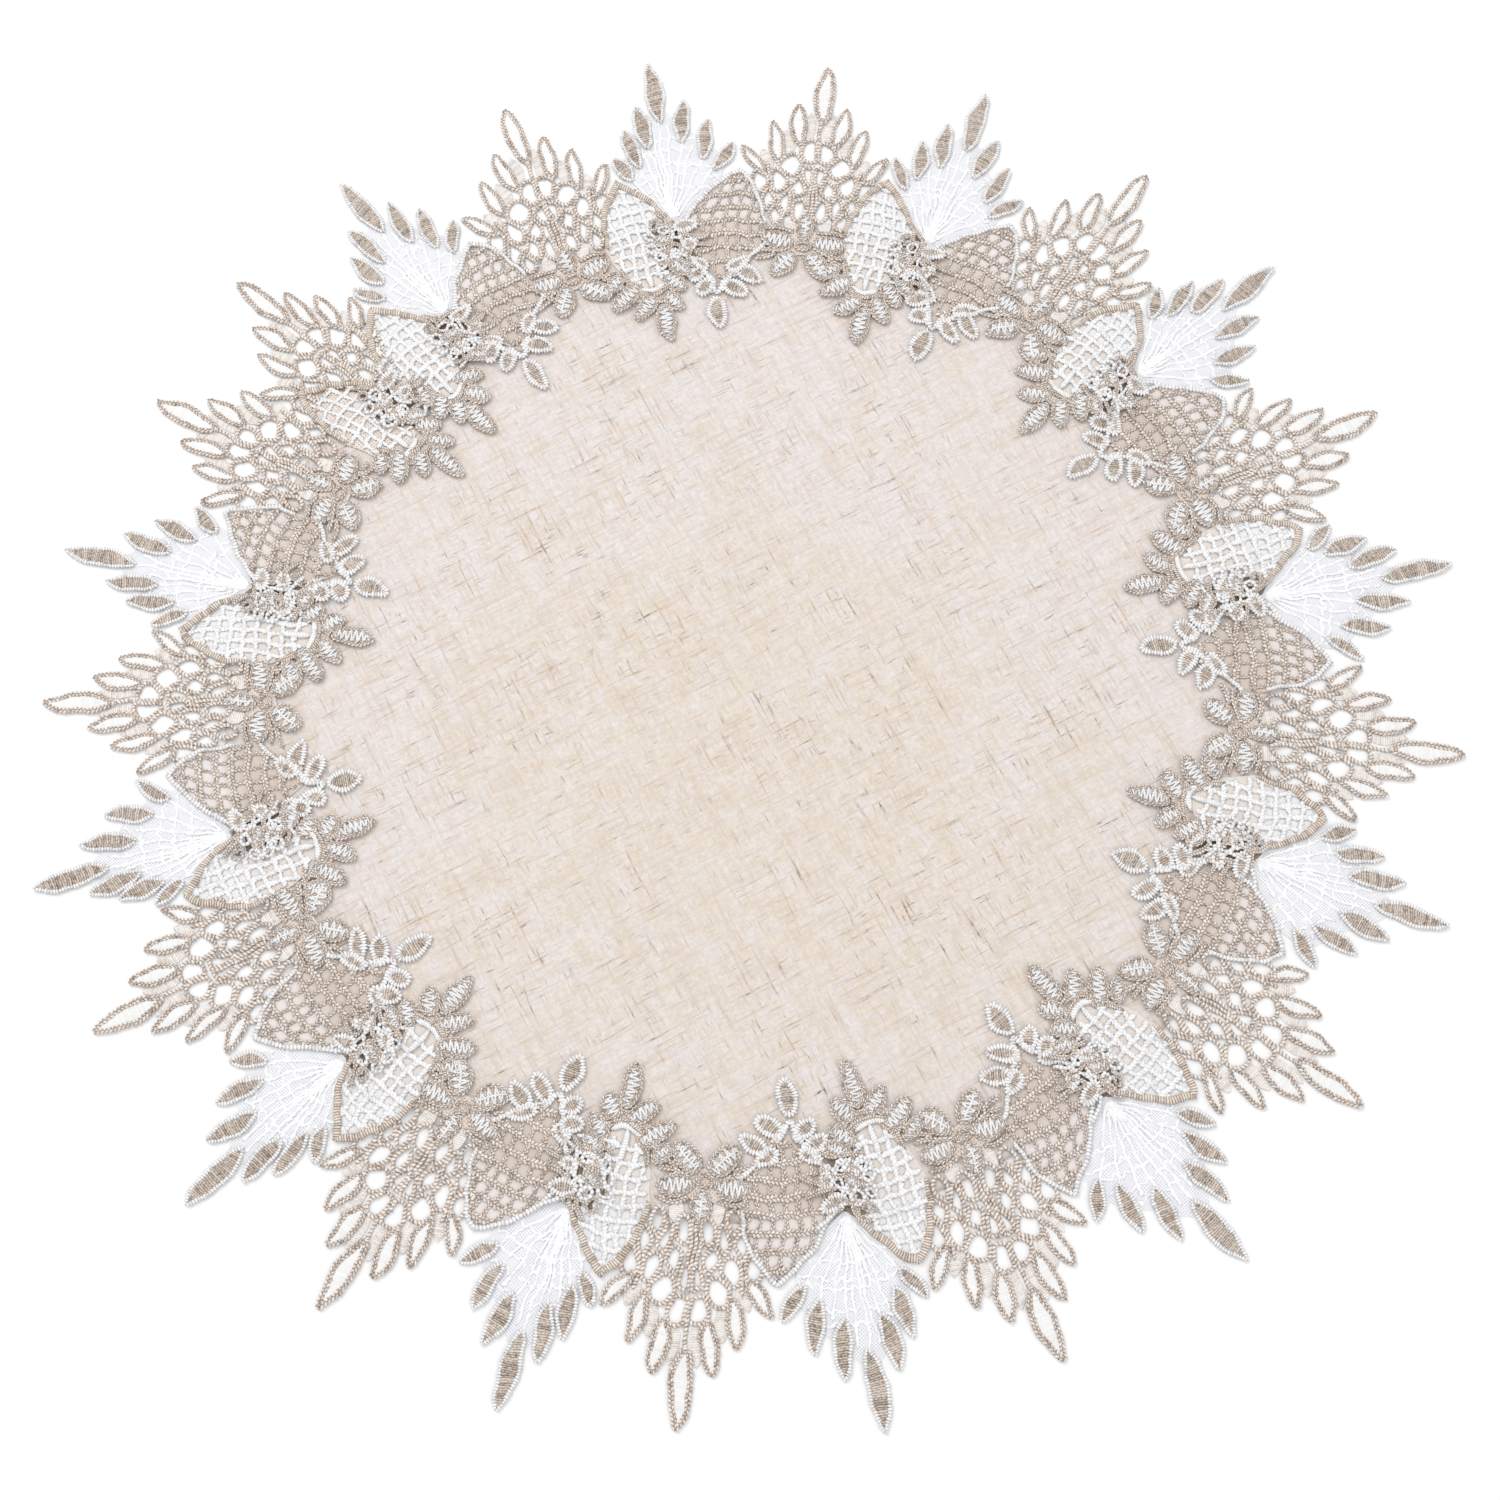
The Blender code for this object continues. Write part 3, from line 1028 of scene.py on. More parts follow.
@dataclass(frozen=True)
class Leaf:
    """A white leaf: seven taupe petals in fine toothed outlines, above a fine net with veins that spread from
    its foot."""

    petals: tuple[Petal, ...] = (
        Petal(0.03, 181.0, 0.0, 202.8, 6.3),
        Petal(0.25, 173.0, 0.355, 188.8, 5.7),
        Petal(0.52, 167.4, 0.635, 181.8, 5.5),
        Petal(0.66, 163.4, 0.975, 173.2, 5.0),
    )
    edge: Edge = Edge(
        (147.0, 150.0, 155.0, 160.0, 165.0, 170.0, 174.0, 178.0, 182.0, 186.0),
        (0.06, 0.27, 0.54, 0.74, 0.82, 0.74, 0.58, 0.40, 0.24, 0.10),
    )
    veins: Rows = (
        (0.0, 184.0), (0.13, 181.0), (0.26, 177.0), (0.40, 173.5), (0.54, 169.5), (0.68, 165.0),
    )
    arcs: tuple[float, ...] = (159.0, 163.0, 167.0, 171.0, 175.0)
    vein: Stitching = Stitching(width=1.1, height=0.28, step=0.9, tooth=0.4, unevenness=0.3)
    arc: Stitching = Stitching(width=0.95, height=0.24, step=0.9, tooth=0.4, unevenness=0.35)
    foot: float = 148.0
    level: float = 0.55
    petal_lift: float = 0.3
    vein_sink: float = 0.36
    arc_sink: float = 0.39
    ground_sink: float = 0.45
    vein_spread: tuple[float, ...] = (0.02, 0.3, 0.55, 0.8, 1.0)
    vein_shake: float = 0.016
    arc_share: float = 0.96
    arc_shake: float = 1.2
    arc_wave: float = 0.9
    arc_sag: float = 3.0
    arc_span: float = 0.8
    pleat: float = 0.1
    pleats: float = 24.0
    pleats_from: float = 184.0
    pleats_run: float = 20.0

    def build(self, seat: Seat, threads: Threads) -> None:
        """Work one leaf.

        Args:
            seat: where it sits.
            threads: the pieces.
        """
        maker = PetalMaker(threads)
        style, rims = PetalStyle.TAUPE_IN_WHITE, threads.leaf_rims
        for petal in both_sides(self.petals):
            maker.work(petal, seat, style, self.level + self.petal_lift, FINE_TEETH, rims)
        self.spread_veins(seat, threads.leaf_veins)
        self.cross_arcs(seat, threads.leaf_veins)
        self.ground(seat, threads.leaf_ground)

    def spread_veins(self, seat: Seat, work: ThreadWork) -> None:
        """The veins, from the leaf's foot outwards, each with its own small shake.

        Args:
            seat: where the leaf sits.
            work: the piece that takes them.
        """
        share = np.array(self.vein_spread)
        for across, radius in self.veins:
            for side in (-1, 1) if across else (1,):
                rows = self.foot + (radius - self.foot) * np.linspace(0.0, 1.0, len(share))
                shake = work.random.normal(0.0, self.vein_shake, len(share)) * share
                path = smooth_path(seat.place(side * across * share + shake, rows))
                work.column(path, self.vein, self.level - self.vein_sink)

    def cross_arcs(self, seat: Seat, work: ThreadWork, steps: int = 25) -> None:
        """The arcs across the veins: each sags by the square of across, and waves by a cosine of it.

        Args:
            seat: where the leaf sits.
            work: the piece that takes them.
            steps: points of an arc.
        """
        for radius in self.arcs:
            reach = float(self.edge.half(radius)) * self.arc_share
            across = np.linspace(-reach, reach, steps)
            phase, drift = work.random.uniform(-self.arc_shake, self.arc_shake, 2)
            wave = self.arc_wave * np.cos(across * self.pleats * 1.9 + phase)
            sag = self.arc_sag * (across / self.arc_span) ** 2
            path = seat.place(across, radius + wave - sag + drift)
            work.column(path, self.arc, self.level - self.arc_sink)

    def ground(self, seat: Seat, work: ThreadWork, rows: int = 26, columns: int = 41) -> None:
        """The fine net: a grid by radius and by the share of the leaf's half-width there, in shallow radial
        pleats whose height is a cosine of across.

        Args:
            seat: where the leaf sits.
            work: the piece that takes it.
            rows: points along the radius.
            columns: points across.
        """
        across, radius = self.edge.grid(rows, columns)
        deep = self.pleat * np.clip((self.pleats_from - radius) / self.pleats_run, 0.2, 1.0)
        fold = deep * np.cos(across * self.pleats + 0.3 * np.sin(radius * 0.3))
        work.lay(seat.place(across, radius), radius[:, 0], self.level - self.ground_sink, fold)


@dataclass(frozen=True)
class Pod:
    """A pod: an open grid of bars inside a raised, pointed outline. The bars drift and the rows sag and
    ripple a little, and both stay clear of the outline."""

    edge: Edge
    rim: Stitching
    bar: Stitching
    row: Stitching
    bar_gap: float
    row_gap: float
    rows_from: float
    rim_from: float
    rim_swell: tuple[float, ...]
    widest: float = 145.0
    bar_clear: float = 0.6
    bar_drift: float = 0.05
    row_clear: float = 0.5
    row_sag: float = 0.5
    row_ripple: float = 0.25
    rim_inset: float = 0.35
    level: float = 0.6
    bar_sink: float = 0.15
    rim_lift: float = 0.3
    ground_level: float = 0.12

    def bars(self, seat: Seat, work: ThreadWork) -> None:
        """The bars along the pod, and the rows across it.

        Args:
            seat: where the pod sits.
            work: the piece that takes them.
        """
        count = int(self.edge.half(self.widest) // self.bar_gap)
        radius = np.linspace(self.rows_from - 2.0, self.edge.radii[-1], 60)
        for number in range(-count, count + 1):
            across = number * self.bar_gap
            inside = radius[self.edge.half(radius) > abs(across) + self.bar_clear]
            if len(inside) < 6:
                continue
            drift = across * (1.0 + self.bar_drift * np.sin(inside * 0.4 + number))
            work.column(seat.place(drift, inside), self.bar, self.level - self.bar_sink)
        row = self.rows_from
        while row < self.edge.radii[-1] - 2.0:
            half = float(self.edge.half(row)) - self.row_clear
            across = np.linspace(-half, half, 12)
            sag = row + self.row_sag * np.cos(across * 0.25) + self.row_ripple * np.sin(across * 1.9 + row)
            work.column(seat.place(across, sag), self.row, self.level)
            row += self.row_gap

    def ground(self, seat: Seat, work: ThreadWork, rows: int = 14, columns: int = 9) -> None:
        """The fine net behind the bars, a grid by radius and by the share of the half-width there.

        Args:
            seat: where the pod sits.
            work: the piece that takes it.
            rows: points along the radius.
            columns: points across.
        """
        across, radius = self.edge.grid(rows, columns, trim=0.5)
        work.lay(seat.place(across, radius), radius[:, 0], self.ground_level)

    def outline(self, seat: Seat, work: ThreadWork) -> None:
        """The raised outline, from the low end on one side to the low end on the other.

        Args:
            seat: where the pod sits.
            work: the piece that takes it.
        """
        across, radius = self.edge.outline(self.rim_from)
        inner = np.sign(across) * np.maximum(np.abs(across) - self.rim.width * self.rim_inset, 0.0)
        path = seat.place(inner, radius)
        work.column(path, self.rim, self.level + self.rim_lift, swell=np.array(self.rim_swell))


WHITE_POD = Pod(
    edge=Edge(
        (126.5, 128.0, 131.0, 135.0, 140.0, 145.0, 150.0, 155.0, 160.0, 162.5, 164.2),
        (1.5, 4.0, 6.4, 8.2, 9.8, 10.9, 10.4, 8.2, 4.7, 2.3, 0.0),
    ),
    rim=Stitching(width=2.2, height=1.5, pitch=0.72, step=0.9, unevenness=0.1),
    bar=Stitching(width=1.85, height=0.5, step=0.54, tooth=0.35, unevenness=0.24),
    row=Stitching(width=1.8, height=0.55, step=0.54, tooth=0.35, unevenness=0.24),
    bar_gap=3.3, row_gap=3.75, rows_from=131.0, rim_from=143.5,
    rim_swell=(0.55, 0.7, 0.85, 0.95, 1.0, 1.0, 0.9, 0.75, 0.6, 0.5),
)
TAUPE_POD = Pod(
    edge=Edge(
        (124.0, 128.0, 132.0, 136.0, 142.0, 146.0, 150.0, 155.0, 160.0, 162.4, 164.0),
        (1.5, 4.0, 6.6, 9.6, 12.0, 12.2, 11.4, 8.9, 4.9, 2.3, 0.0),
    ),
    rim=Stitching(width=1.7, height=0.9, step=0.5, tooth=0.5, unevenness=0.16),
    bar=Stitching(width=1.4, height=0.6, step=0.54, tooth=0.35, unevenness=0.22),
    row=Stitching(width=2.15, height=1.0, step=0.54, plait=0.34, unevenness=0.2),
    bar_gap=3.6, row_gap=4.6, rows_from=127.6, rim_from=145.0,
    rim_swell=(0.9, 1.0, 1.0, 1.1, 1.0, 1.0, 0.9),
)
JOINT_POD = replace(
    WHITE_POD,
    bar=replace(WHITE_POD.bar, width=1.5),
    row=replace(WHITE_POD.row, width=1.45),
)


@dataclass(frozen=True)
class PodFoot:
    """The white stem and the arc at a white pod's inner end."""

    stem_from: float = 135.5
    stem_to: float = 127.0
    stem_level: float = 0.85
    arc_reach: float = 4.2
    arc_radius: float = 126.2
    arc_bend: float = 0.09
    arc_level: float = 0.8
    thread: Stitching = Stitching(width=1.7, height=1.1, pitch=0.8)

    def build(self, seat: Seat, work: ThreadWork) -> None:
        """Work the stem, then the arc, whose radius grows by the square of across.

        Args:
            seat: where the pod sits.
            work: the piece that takes them.
        """
        stem = seat.place(np.zeros(6), np.linspace(self.stem_from, self.stem_to, 6))
        work.column(stem, self.thread, self.stem_level)
        across = np.linspace(-self.arc_reach, self.arc_reach, 10)
        arc = seat.place(across, self.arc_radius + self.arc_bend * across**2)
        work.column(arc, self.thread, self.arc_level)


@dataclass(frozen=True)
class Crown:
    """A crown of leaflets that hangs from a pod over the linen. By threes, each lies a step above the one
    before it."""

    leaflets: tuple[Petal, ...]
    style: PetalStyle
    rim: Stitching
    stems: tuple[Rows, ...]
    stem: Stitching
    reach_before: float
    reach_after: float
    level: float = 0.7
    step_up: float = 0.12

    def build(self, seat: Seat, threads: Threads) -> None:
        """Work one crown.

        Args:
            seat: where it sits.
            threads: the pieces.
        """
        maker = PetalMaker(threads)
        white = self.style is PetalStyle.TAUPE_IN_WHITE
        rims = threads.crown_rims_white if white else threads.taupe_rims
        for number, leaflet in enumerate(self.leaflets):
            level = self.level + self.step_up * (number % 3)
            maker.work(leaflet, seat, self.style, level, self.rim, rims)
        for stem in self.stems:
            rims.column(seated_path(stem, seat), self.stem, self.level)


WHITE_CROWN = Crown(
    leaflets=(
        Petal(-0.8, 124.6, -4.2, 117.8, 5.9),
        Petal(0.6, 125.0, 3.7, 118.6, 5.9),
        Petal(-2.6, 129.4, -6.8, 122.8, 6.2),
        Petal(1.4, 130.6, 4.8, 125.2, 5.8),
        Petal(-0.1, 122.0, 0.05, 108.8, 6.2),
        Petal(-4.4, 133.4, -7.0, 128.6, 5.2),
    ),
    style=PetalStyle.ZIGZAG_IN_TAUPE,
    rim=NARROW_RIM,
    stems=(
        ((-5.4, 130.5), (-3.4, 127.6), (-1.4, 125.6), (-0.6, 125.2), (1.2, 126.2), (3.2, 128.4)),
        ((-4.2, 135.5), (-3.6, 131.0), (-2.2, 127.4)),
        ((-3.0, 126.0), (-1.6, 123.6), (0.0, 122.8), (1.6, 123.8), (2.6, 126.0)),
        ((-5.2, 127.4), (-4.0, 129.4), (-3.6, 132.0)),
    ),
    stem=Stitching(width=1.8, height=1.2, unevenness=0.14),
    reach_before=6.8, reach_after=4.6,
)
TAUPE_CROWN = Crown(
    leaflets=(
        Petal(-0.7, 126.7, -3.6, 121.8, 6.0),
        Petal(0.9, 126.4, 4.3, 120.4, 6.0),
        Petal(-1.7, 131.2, -4.8, 126.8, 5.9),
        Petal(2.7, 130.6, 6.5, 125.2, 6.0),
        Petal(-0.9, 129.6, -4.0, 134.4, 5.2),
        Petal(1.6, 129.2, 4.7, 133.8, 5.2),
        Petal(0.0, 121.6, 0.0, 110.2, 6.8),
    ),
    style=PetalStyle.TAUPE_IN_WHITE,
    rim=TEETH,
    stems=(
        ((0.0, 121.8), (-0.9, 126.0), (-2.3, 130.6), (-4.0, 135.4), (-5.4, 138.4)),
        ((0.1, 121.8), (1.4, 126.0), (3.2, 130.4), (5.0, 134.6), (6.6, 138.0)),
        ((-0.9, 123.0), (-0.6, 125.6), (-1.0, 127.6)),
        ((0.9, 122.8), (0.8, 125.2), (1.4, 127.4)),
    ),
    stem=Stitching(width=2.0, height=0.9, step=0.46, tooth=0.5, unevenness=0.2),
    reach_before=4.6, reach_after=6.6,
)


@dataclass(frozen=True)
class Flower:
    """The small flower at a fan's foot: five white petals in taupe outlines round a taupe ring. The two at
    its sides have no spine."""

    petals: tuple[Petal, ...] = (
        Petal(0.0, 140.2, 0.1, 149.8, 5.9),
        Petal(1.0, 139.1, 5.2, 140.7, 6.8),
        Petal(0.7, 136.3, 3.8, 128.6, 7.1),
    )
    stems: tuple[Rows, ...] = (
        ((-4.8, 143.8), (-3.2, 144.0), (-1.4, 143.2)),
        ((5.0, 143.6), (3.2, 144.0), (1.4, 143.2)),
        ((-5.2, 136.6), (-3.6, 136.4), (-1.9, 137.4)),
        ((5.4, 136.2), (3.8, 136.2), (1.9, 137.4)),
        ((-6.0, 133.6), (-4.6, 134.2), (-3.2, 135.4)),
        ((6.4, 132.8), (4.8, 134.0), (3.2, 135.4)),
    )
    middle: float = 138.4
    ring_size: tuple[float, float] = (2.1, 1.4)
    level: float = 0.8
    ring_lift: float = 0.15
    stem_sink: float = 0.2

    def build(self, seat: Seat, threads: Threads) -> None:
        """Work one flower.

        Args:
            seat: where it sits.
            threads: the pieces.
        """
        maker = PetalMaker(threads)
        rims = threads.taupe_rims
        for petal in self.petals[:1] + tuple(both_sides(self.petals[1:])):
            plain = petal.root == self.petals[1].root
            style = PetalStyle.ZIGZAG_IN_TAUPE if plain else PetalStyle.SPINE_IN_TAUPE
            maker.work(petal, seat, style, self.level, NARROW_RIM, rims)
        turn = np.linspace(0.0, 2 * np.pi, 14, endpoint=False)
        wide, high = self.ring_size
        across = np.degrees(wide * np.cos(turn) / self.middle)
        ring = seat.place(across, self.middle + high * np.sin(turn))
        rims.column(ring, NARROW_RIM, self.level + self.ring_lift, closed=True)
        for stem in self.stems:
            rims.column(seated_path(stem, seat), SMOOTH_RIM, self.level - self.stem_sink)


@dataclass(frozen=True)
class Gather:
    """The gather at a leaf's foot, where the strip is drawn up: crumpled cords that cross each other, and
    leaflets pulled sideways."""

    white_leaflets: tuple[Petal, ...] = (
        Petal(-0.5, 143.2, 2.7, 145.2, 5.4),
        Petal(-0.3, 133.6, -2.7, 138.0, 4.6),
        Petal(0.1, 136.2, 2.7, 139.8, 4.4),
    )
    taupe_leaflets: tuple[Petal, ...] = (
        Petal(-1.7, 132.2, 1.2, 128.8, 4.8),
        Petal(-0.3, 138.6, -2.9, 142.0, 4.2),
    )
    white_cords: tuple[Rows, ...] = (
        ((2.9, 150.6), (1.3, 147.6), (0.5, 143.6), (0.3, 139.0), (0.9, 133.4)),
        ((-3.6, 140.4), (-1.9, 138.8), (-0.6, 140.6), (1.0, 139.2)),
        ((-3.0, 136.0), (-1.3, 134.4), (0.5, 135.6), (2.4, 133.2)),
        ((-2.6, 130.4), (-1.0, 131.6), (0.5, 129.4), (1.9, 131.0)),
    )
    taupe_cords: tuple[Rows, ...] = (
        ((-2.3, 151.2), (-1.0, 147.8), (-0.6, 143.4), (-1.0, 138.2), (-1.9, 132.4)),
        ((-3.2, 133.2), (-1.5, 132.0), (0.2, 133.0), (2.1, 130.6)),
        ((0.7, 141.6), (2.5, 140.2), (4.0, 141.2)),
        ((-2.9, 137.8), (-1.6, 136.6), (-0.2, 137.8), (1.3, 136.0)),
        ((0.8, 137.2), (2.6, 138.0), (4.4, 136.4)),
        ((0.4, 146.8), (1.4, 143.6), (1.0, 140.6), (1.8, 137.0), (1.2, 132.6)),
        ((-1.6, 146.2), (-0.2, 145.2), (1.2, 146.4)),
    )
    loops: Rows = (
        (-2.3, 146.4), (-1.3, 143.8), (-3.1, 142.4), (-2.1, 140.6), (-0.9, 141.2), (-3.2, 138.6),
        (-1.5, 137.4), (-2.6, 135.4), (-0.5, 134.8), (0.9, 143.4), (1.5, 138.0),
    )
    white_cord: Stitching = Stitching(width=1.3, height=0.8, step=0.54, tooth=0.3, unevenness=0.2)
    taupe_cord: Stitching = Stitching(width=1.5, height=1.1, pitch=0.8, step=1.0, unevenness=0.2)
    loop: Stitching = Stitching(width=1.1, height=0.85, step=0.6, tooth=0.3, unevenness=0.2)
    loop_reach: float = 1.5
    loop_unevenness: float = 0.15
    level: float = 0.85
    loop_lift: float = 0.55
    taupe_lift: float = 0.35
    white_lift: float = 0.75
    lift_step: float = 0.2
    shake: tuple[float, float] = (0.22, 0.45)
    crumple: float = 0.75

    def build(self, seat: Seat, threads: Threads) -> None:
        """Work one gather, with cords at uneven heights.

        Args:
            seat: where it sits.
            threads: the pieces.
        """
        kinds = (
            (threads.gather_white, self.white_cord, self.white_cords),
            (threads.gather_taupe, self.taupe_cord, self.taupe_cords),
        )
        for work, stitching, cords in kinds:
            for cord in cords:
                rows = np.array(cord)
                rows = rows + work.random.normal(0.0, 1.0, rows.shape) * self.shake
                rise = self.crumple * work.random.random(len(rows))
                work.column(seated_path(rows, seat), stitching, self.level, rise=rise)
        self.draw_loops(seat, threads)
        maker = PetalMaker(threads)
        for number, leaflet in enumerate(self.taupe_leaflets):
            level = self.level + self.taupe_lift + self.lift_step * number
            maker.work(leaflet, seat, PetalStyle.ZIGZAG_IN_TAUPE, level, NARROW_RIM, threads.gather_taupe)
        for number, leaflet in enumerate(self.white_leaflets):
            level = self.level + self.white_lift - self.lift_step * number
            maker.work(leaflet, seat, PetalStyle.TAUPE_IN_WHITE, level, TEETH, threads.gather_white)

    def draw_loops(self, seat: Seat, threads: Threads) -> None:
        """Small uneven loops of cord round the holes, dark with the painted shade below, two in three of them
        white.

        Args:
            seat: where the gather sits.
            threads: the pieces.
        """
        turn = np.arange(12) * np.pi / 6
        for number, (place, radius) in enumerate(self.loops):
            work = threads.gather_white if number % 3 else threads.gather_taupe
            reach = self.loop_reach * (1.0 + self.loop_unevenness * work.random.standard_normal(2))
            ring = np.stack([reach[0] * np.cos(turn), reach[1] * np.sin(turn)], axis=-1)
            path = seat.place(place, radius) + ring
            work.column(path, self.loop, self.level + self.loop_lift, closed=True)


@dataclass(frozen=True)
class Patch:
    """A patch of close net behind the thread work: a band along a path of across and radius. Under a gather
    and along the joint pod's rim, it is a dark net of painted shade.
    """

    path: Rows
    width: float
    level: float = 0.3

    def build(self, seat: Seat, work: ThreadWork, columns: int = 9) -> None:
        """A grid along the smoothed path and across it. The band narrows to a round end by the square root
        of one less the cube of how near it is to the end.

        Args:
            seat: where the path sits.
            work: the piece that takes it.
            columns: points across.
        """
        line = seated_path(self.path, seat, steps=6)
        side = right_of(np.gradient(line, axis=0))
        share = np.linspace(-1.0, 1.0, len(line))
        half = self.width / 2 * np.sqrt(np.maximum(1.0 - np.abs(share) ** 3, 0.02))
        across = np.linspace(1.0, -1.0, columns)
        plane = line[:, None] + (half[:, None] * across)[..., None] * side[:, None]
        work.lay(plane, share * 10.0, self.level)


FLOWER_PATCH = Patch(((-4.2, 140.0), (-2.0, 139.6), (0.0, 139.4), (2.0, 139.6), (4.4, 139.8)), 8.0)
WHITE_CROWN_PATCH = Patch(
    ((-5.2, 130.6), (-3.4, 126.8), (-1.2, 124.6), (1.0, 124.8), (2.8, 127.0), (4.0, 130.0)), 5.0
)
# Under each gather: a dark net of painted shade, deep in the fold.
GATHER_SHADE_PATCH = Patch(((-1.2, 148.5), (-1.2, 142.0), (-0.9, 135.0), (-0.5, 130.5)), 10.0)
# Along the joint pod's rim: a strip of the same dark net, as a painted shadow.
JOINT_SHADOW_PATCH = Patch(((5.0, 158.0), (8.0, 152.0), (9.6, 145.0), (9.0, 137.0), (6.5, 131.0)), 4.6, 0.16)


@dataclass(frozen=True)
class LaceBorder:
    """The whole strip, feature by feature. At the joint, the strip's end is drawn up like a gather."""

    layout: StripLayout
    threads: Threads
    fan: Fan = Fan()
    leaf: Leaf = Leaf()
    flower: Flower = Flower()
    gather: Gather = Gather()
    pod_foot: PodFoot = PodFoot()

    def build(self) -> None:
        """Work every motif, and the pod and crown after it."""
        for index, motif in enumerate(self.layout.motifs):
            seat = self.layout.motif_seat(index)
            if motif.is_fan:
                covered, cut_short = motif.kind is MotifKind.JOINT_FAN, self.layout.before_joint(index)
                self.fan.build(seat, self.threads, covered, cut_short)
            else:
                self.leaf.build(seat, self.threads)
                self.draw_up(self.layout.foot_seat(index))
            if motif.has_flower:
                flower_seat = self.layout.foot_seat(index, FLOWER_TURN)
                self.flower.build(flower_seat, self.threads)
                FLOWER_PATCH.build(flower_seat, self.threads.band_ground)
            self.pod_and_crown(index, motif)
        self.draw_up(TurnSeat(*JOINT_FOLD))

    def draw_up(self, seat: Seat) -> None:
        """Work one gather, over its patch of dark net, which is painted shade deep in the fold."""
        self.gather.build(seat, self.threads)
        GATHER_SHADE_PATCH.build(seat, self.threads.gather_painted_shade)

    def pod_and_crown(self, index: int, motif: Motif) -> None:
        """Work the pod and the crown after a motif.

        Args:
            index: the motif's place.
            motif: the motif.
        """
        threads, seat = self.threads, self.layout.pod_seat(index)
        if motif.is_fan:
            at_joint = self.layout.before_joint(index)
            pod = JOINT_POD if at_joint else WHITE_POD
            pod.ground(seat, threads.band_ground if at_joint else threads.pod_ground)
            # At the joint, a strip of dark net paints the shadow along the pod's rim.
            if at_joint:
                JOINT_SHADOW_PATCH.build(seat, threads.gather_painted_shade)
            pod.bars(seat, threads.white_mesh)
            pod.outline(seat, threads.pod_rims_taupe)
            self.pod_foot.build(seat, threads.white_mesh)
            crown = WHITE_CROWN
        else:
            TAUPE_POD.ground(seat, threads.taupe_pod_ground)
            TAUPE_POD.bars(seat, threads.taupe_mesh)
            TAUPE_POD.outline(seat, threads.pod_rims_white)
            crown = TAUPE_CROWN
        crown_seat = self.layout.crown_seat(index, crown.reach_before, crown.reach_after)
        crown.build(crown_seat, threads)
        if motif.is_fan:
            WHITE_CROWN_PATCH.build(crown_seat, threads.band_ground)


# --------------------------------------------------------------------------------------------- the linen


@dataclass(frozen=True)
class LinenCentre:
    """The linen disc: a thin cloth that lies flat, with a slight swell and a cut edge that wanders."""

    radius: float = LINEN_RADIUS
    wave: float = 0.4
    waves: int = 7
    middle: float = 0.5
    thickness: float = 0.5
    swell: float = 0.12
    trim: float = 0.1
    inner_share: float = 0.006
    ring_power: float = 0.9
    rings: int = 60
    spokes: int = 240

    def build(self) -> bpy.types.Object:
        """A polar grid, closed in the middle by its smallest ring, given its thickness by Solidify.

        The edge's radius rises and falls by the wave, and the height by a product of slow sines.

        Returns:
            The cloth.
        """
        share = np.linspace(self.inner_share, 1.0, self.rings) ** self.ring_power
        turn = np.linspace(0.0, 360.0, self.spokes, endpoint=False)
        edge = self.radius + self.wave * np.sin(np.radians(turn * self.waves)) - self.trim
        radius = share[:, None] * edge[None, :]
        plane = ring_point(turn[None, :] * np.ones_like(radius), radius)
        x, y = plane[..., 0], plane[..., 1]
        high = self.middle + self.swell * np.sin(0.061 * x + 0.5) * np.sin(0.053 * y - 0.4)
        points = raised(plane, high).reshape(-1, 3)
        index = np.arange(points.shape[0]).reshape(self.rings, self.spokes)
        index = np.hstack([index, index[:, :1]])
        corners = [index[:-1, :-1], index[:-1, 1:], index[1:, 1:], index[1:, :-1]]
        quads = np.stack([corner.ravel() for corner in corners], axis=-1)
        faces = [tuple(row) for row in quads.tolist()] + [tuple(range(self.spokes))[::-1]]
        mesh = bpy.data.meshes.new("linen_cloth")
        mesh.from_pydata((points * MM).tolist(), [], faces)
        mesh.update()
        if mesh.polygons[0].normal.z < 0:
            mesh.flip_normals()
        mesh.shade_smooth()
        cloth = link_object("linen_cloth", mesh)
        solidify = cloth.modifiers.new("thickness", "SOLIDIFY")
        solidify.thickness = self.thickness * MM
        solidify.offset = 0.0
        return cloth


# --------------------------------------------------------------------------------------------- finishes


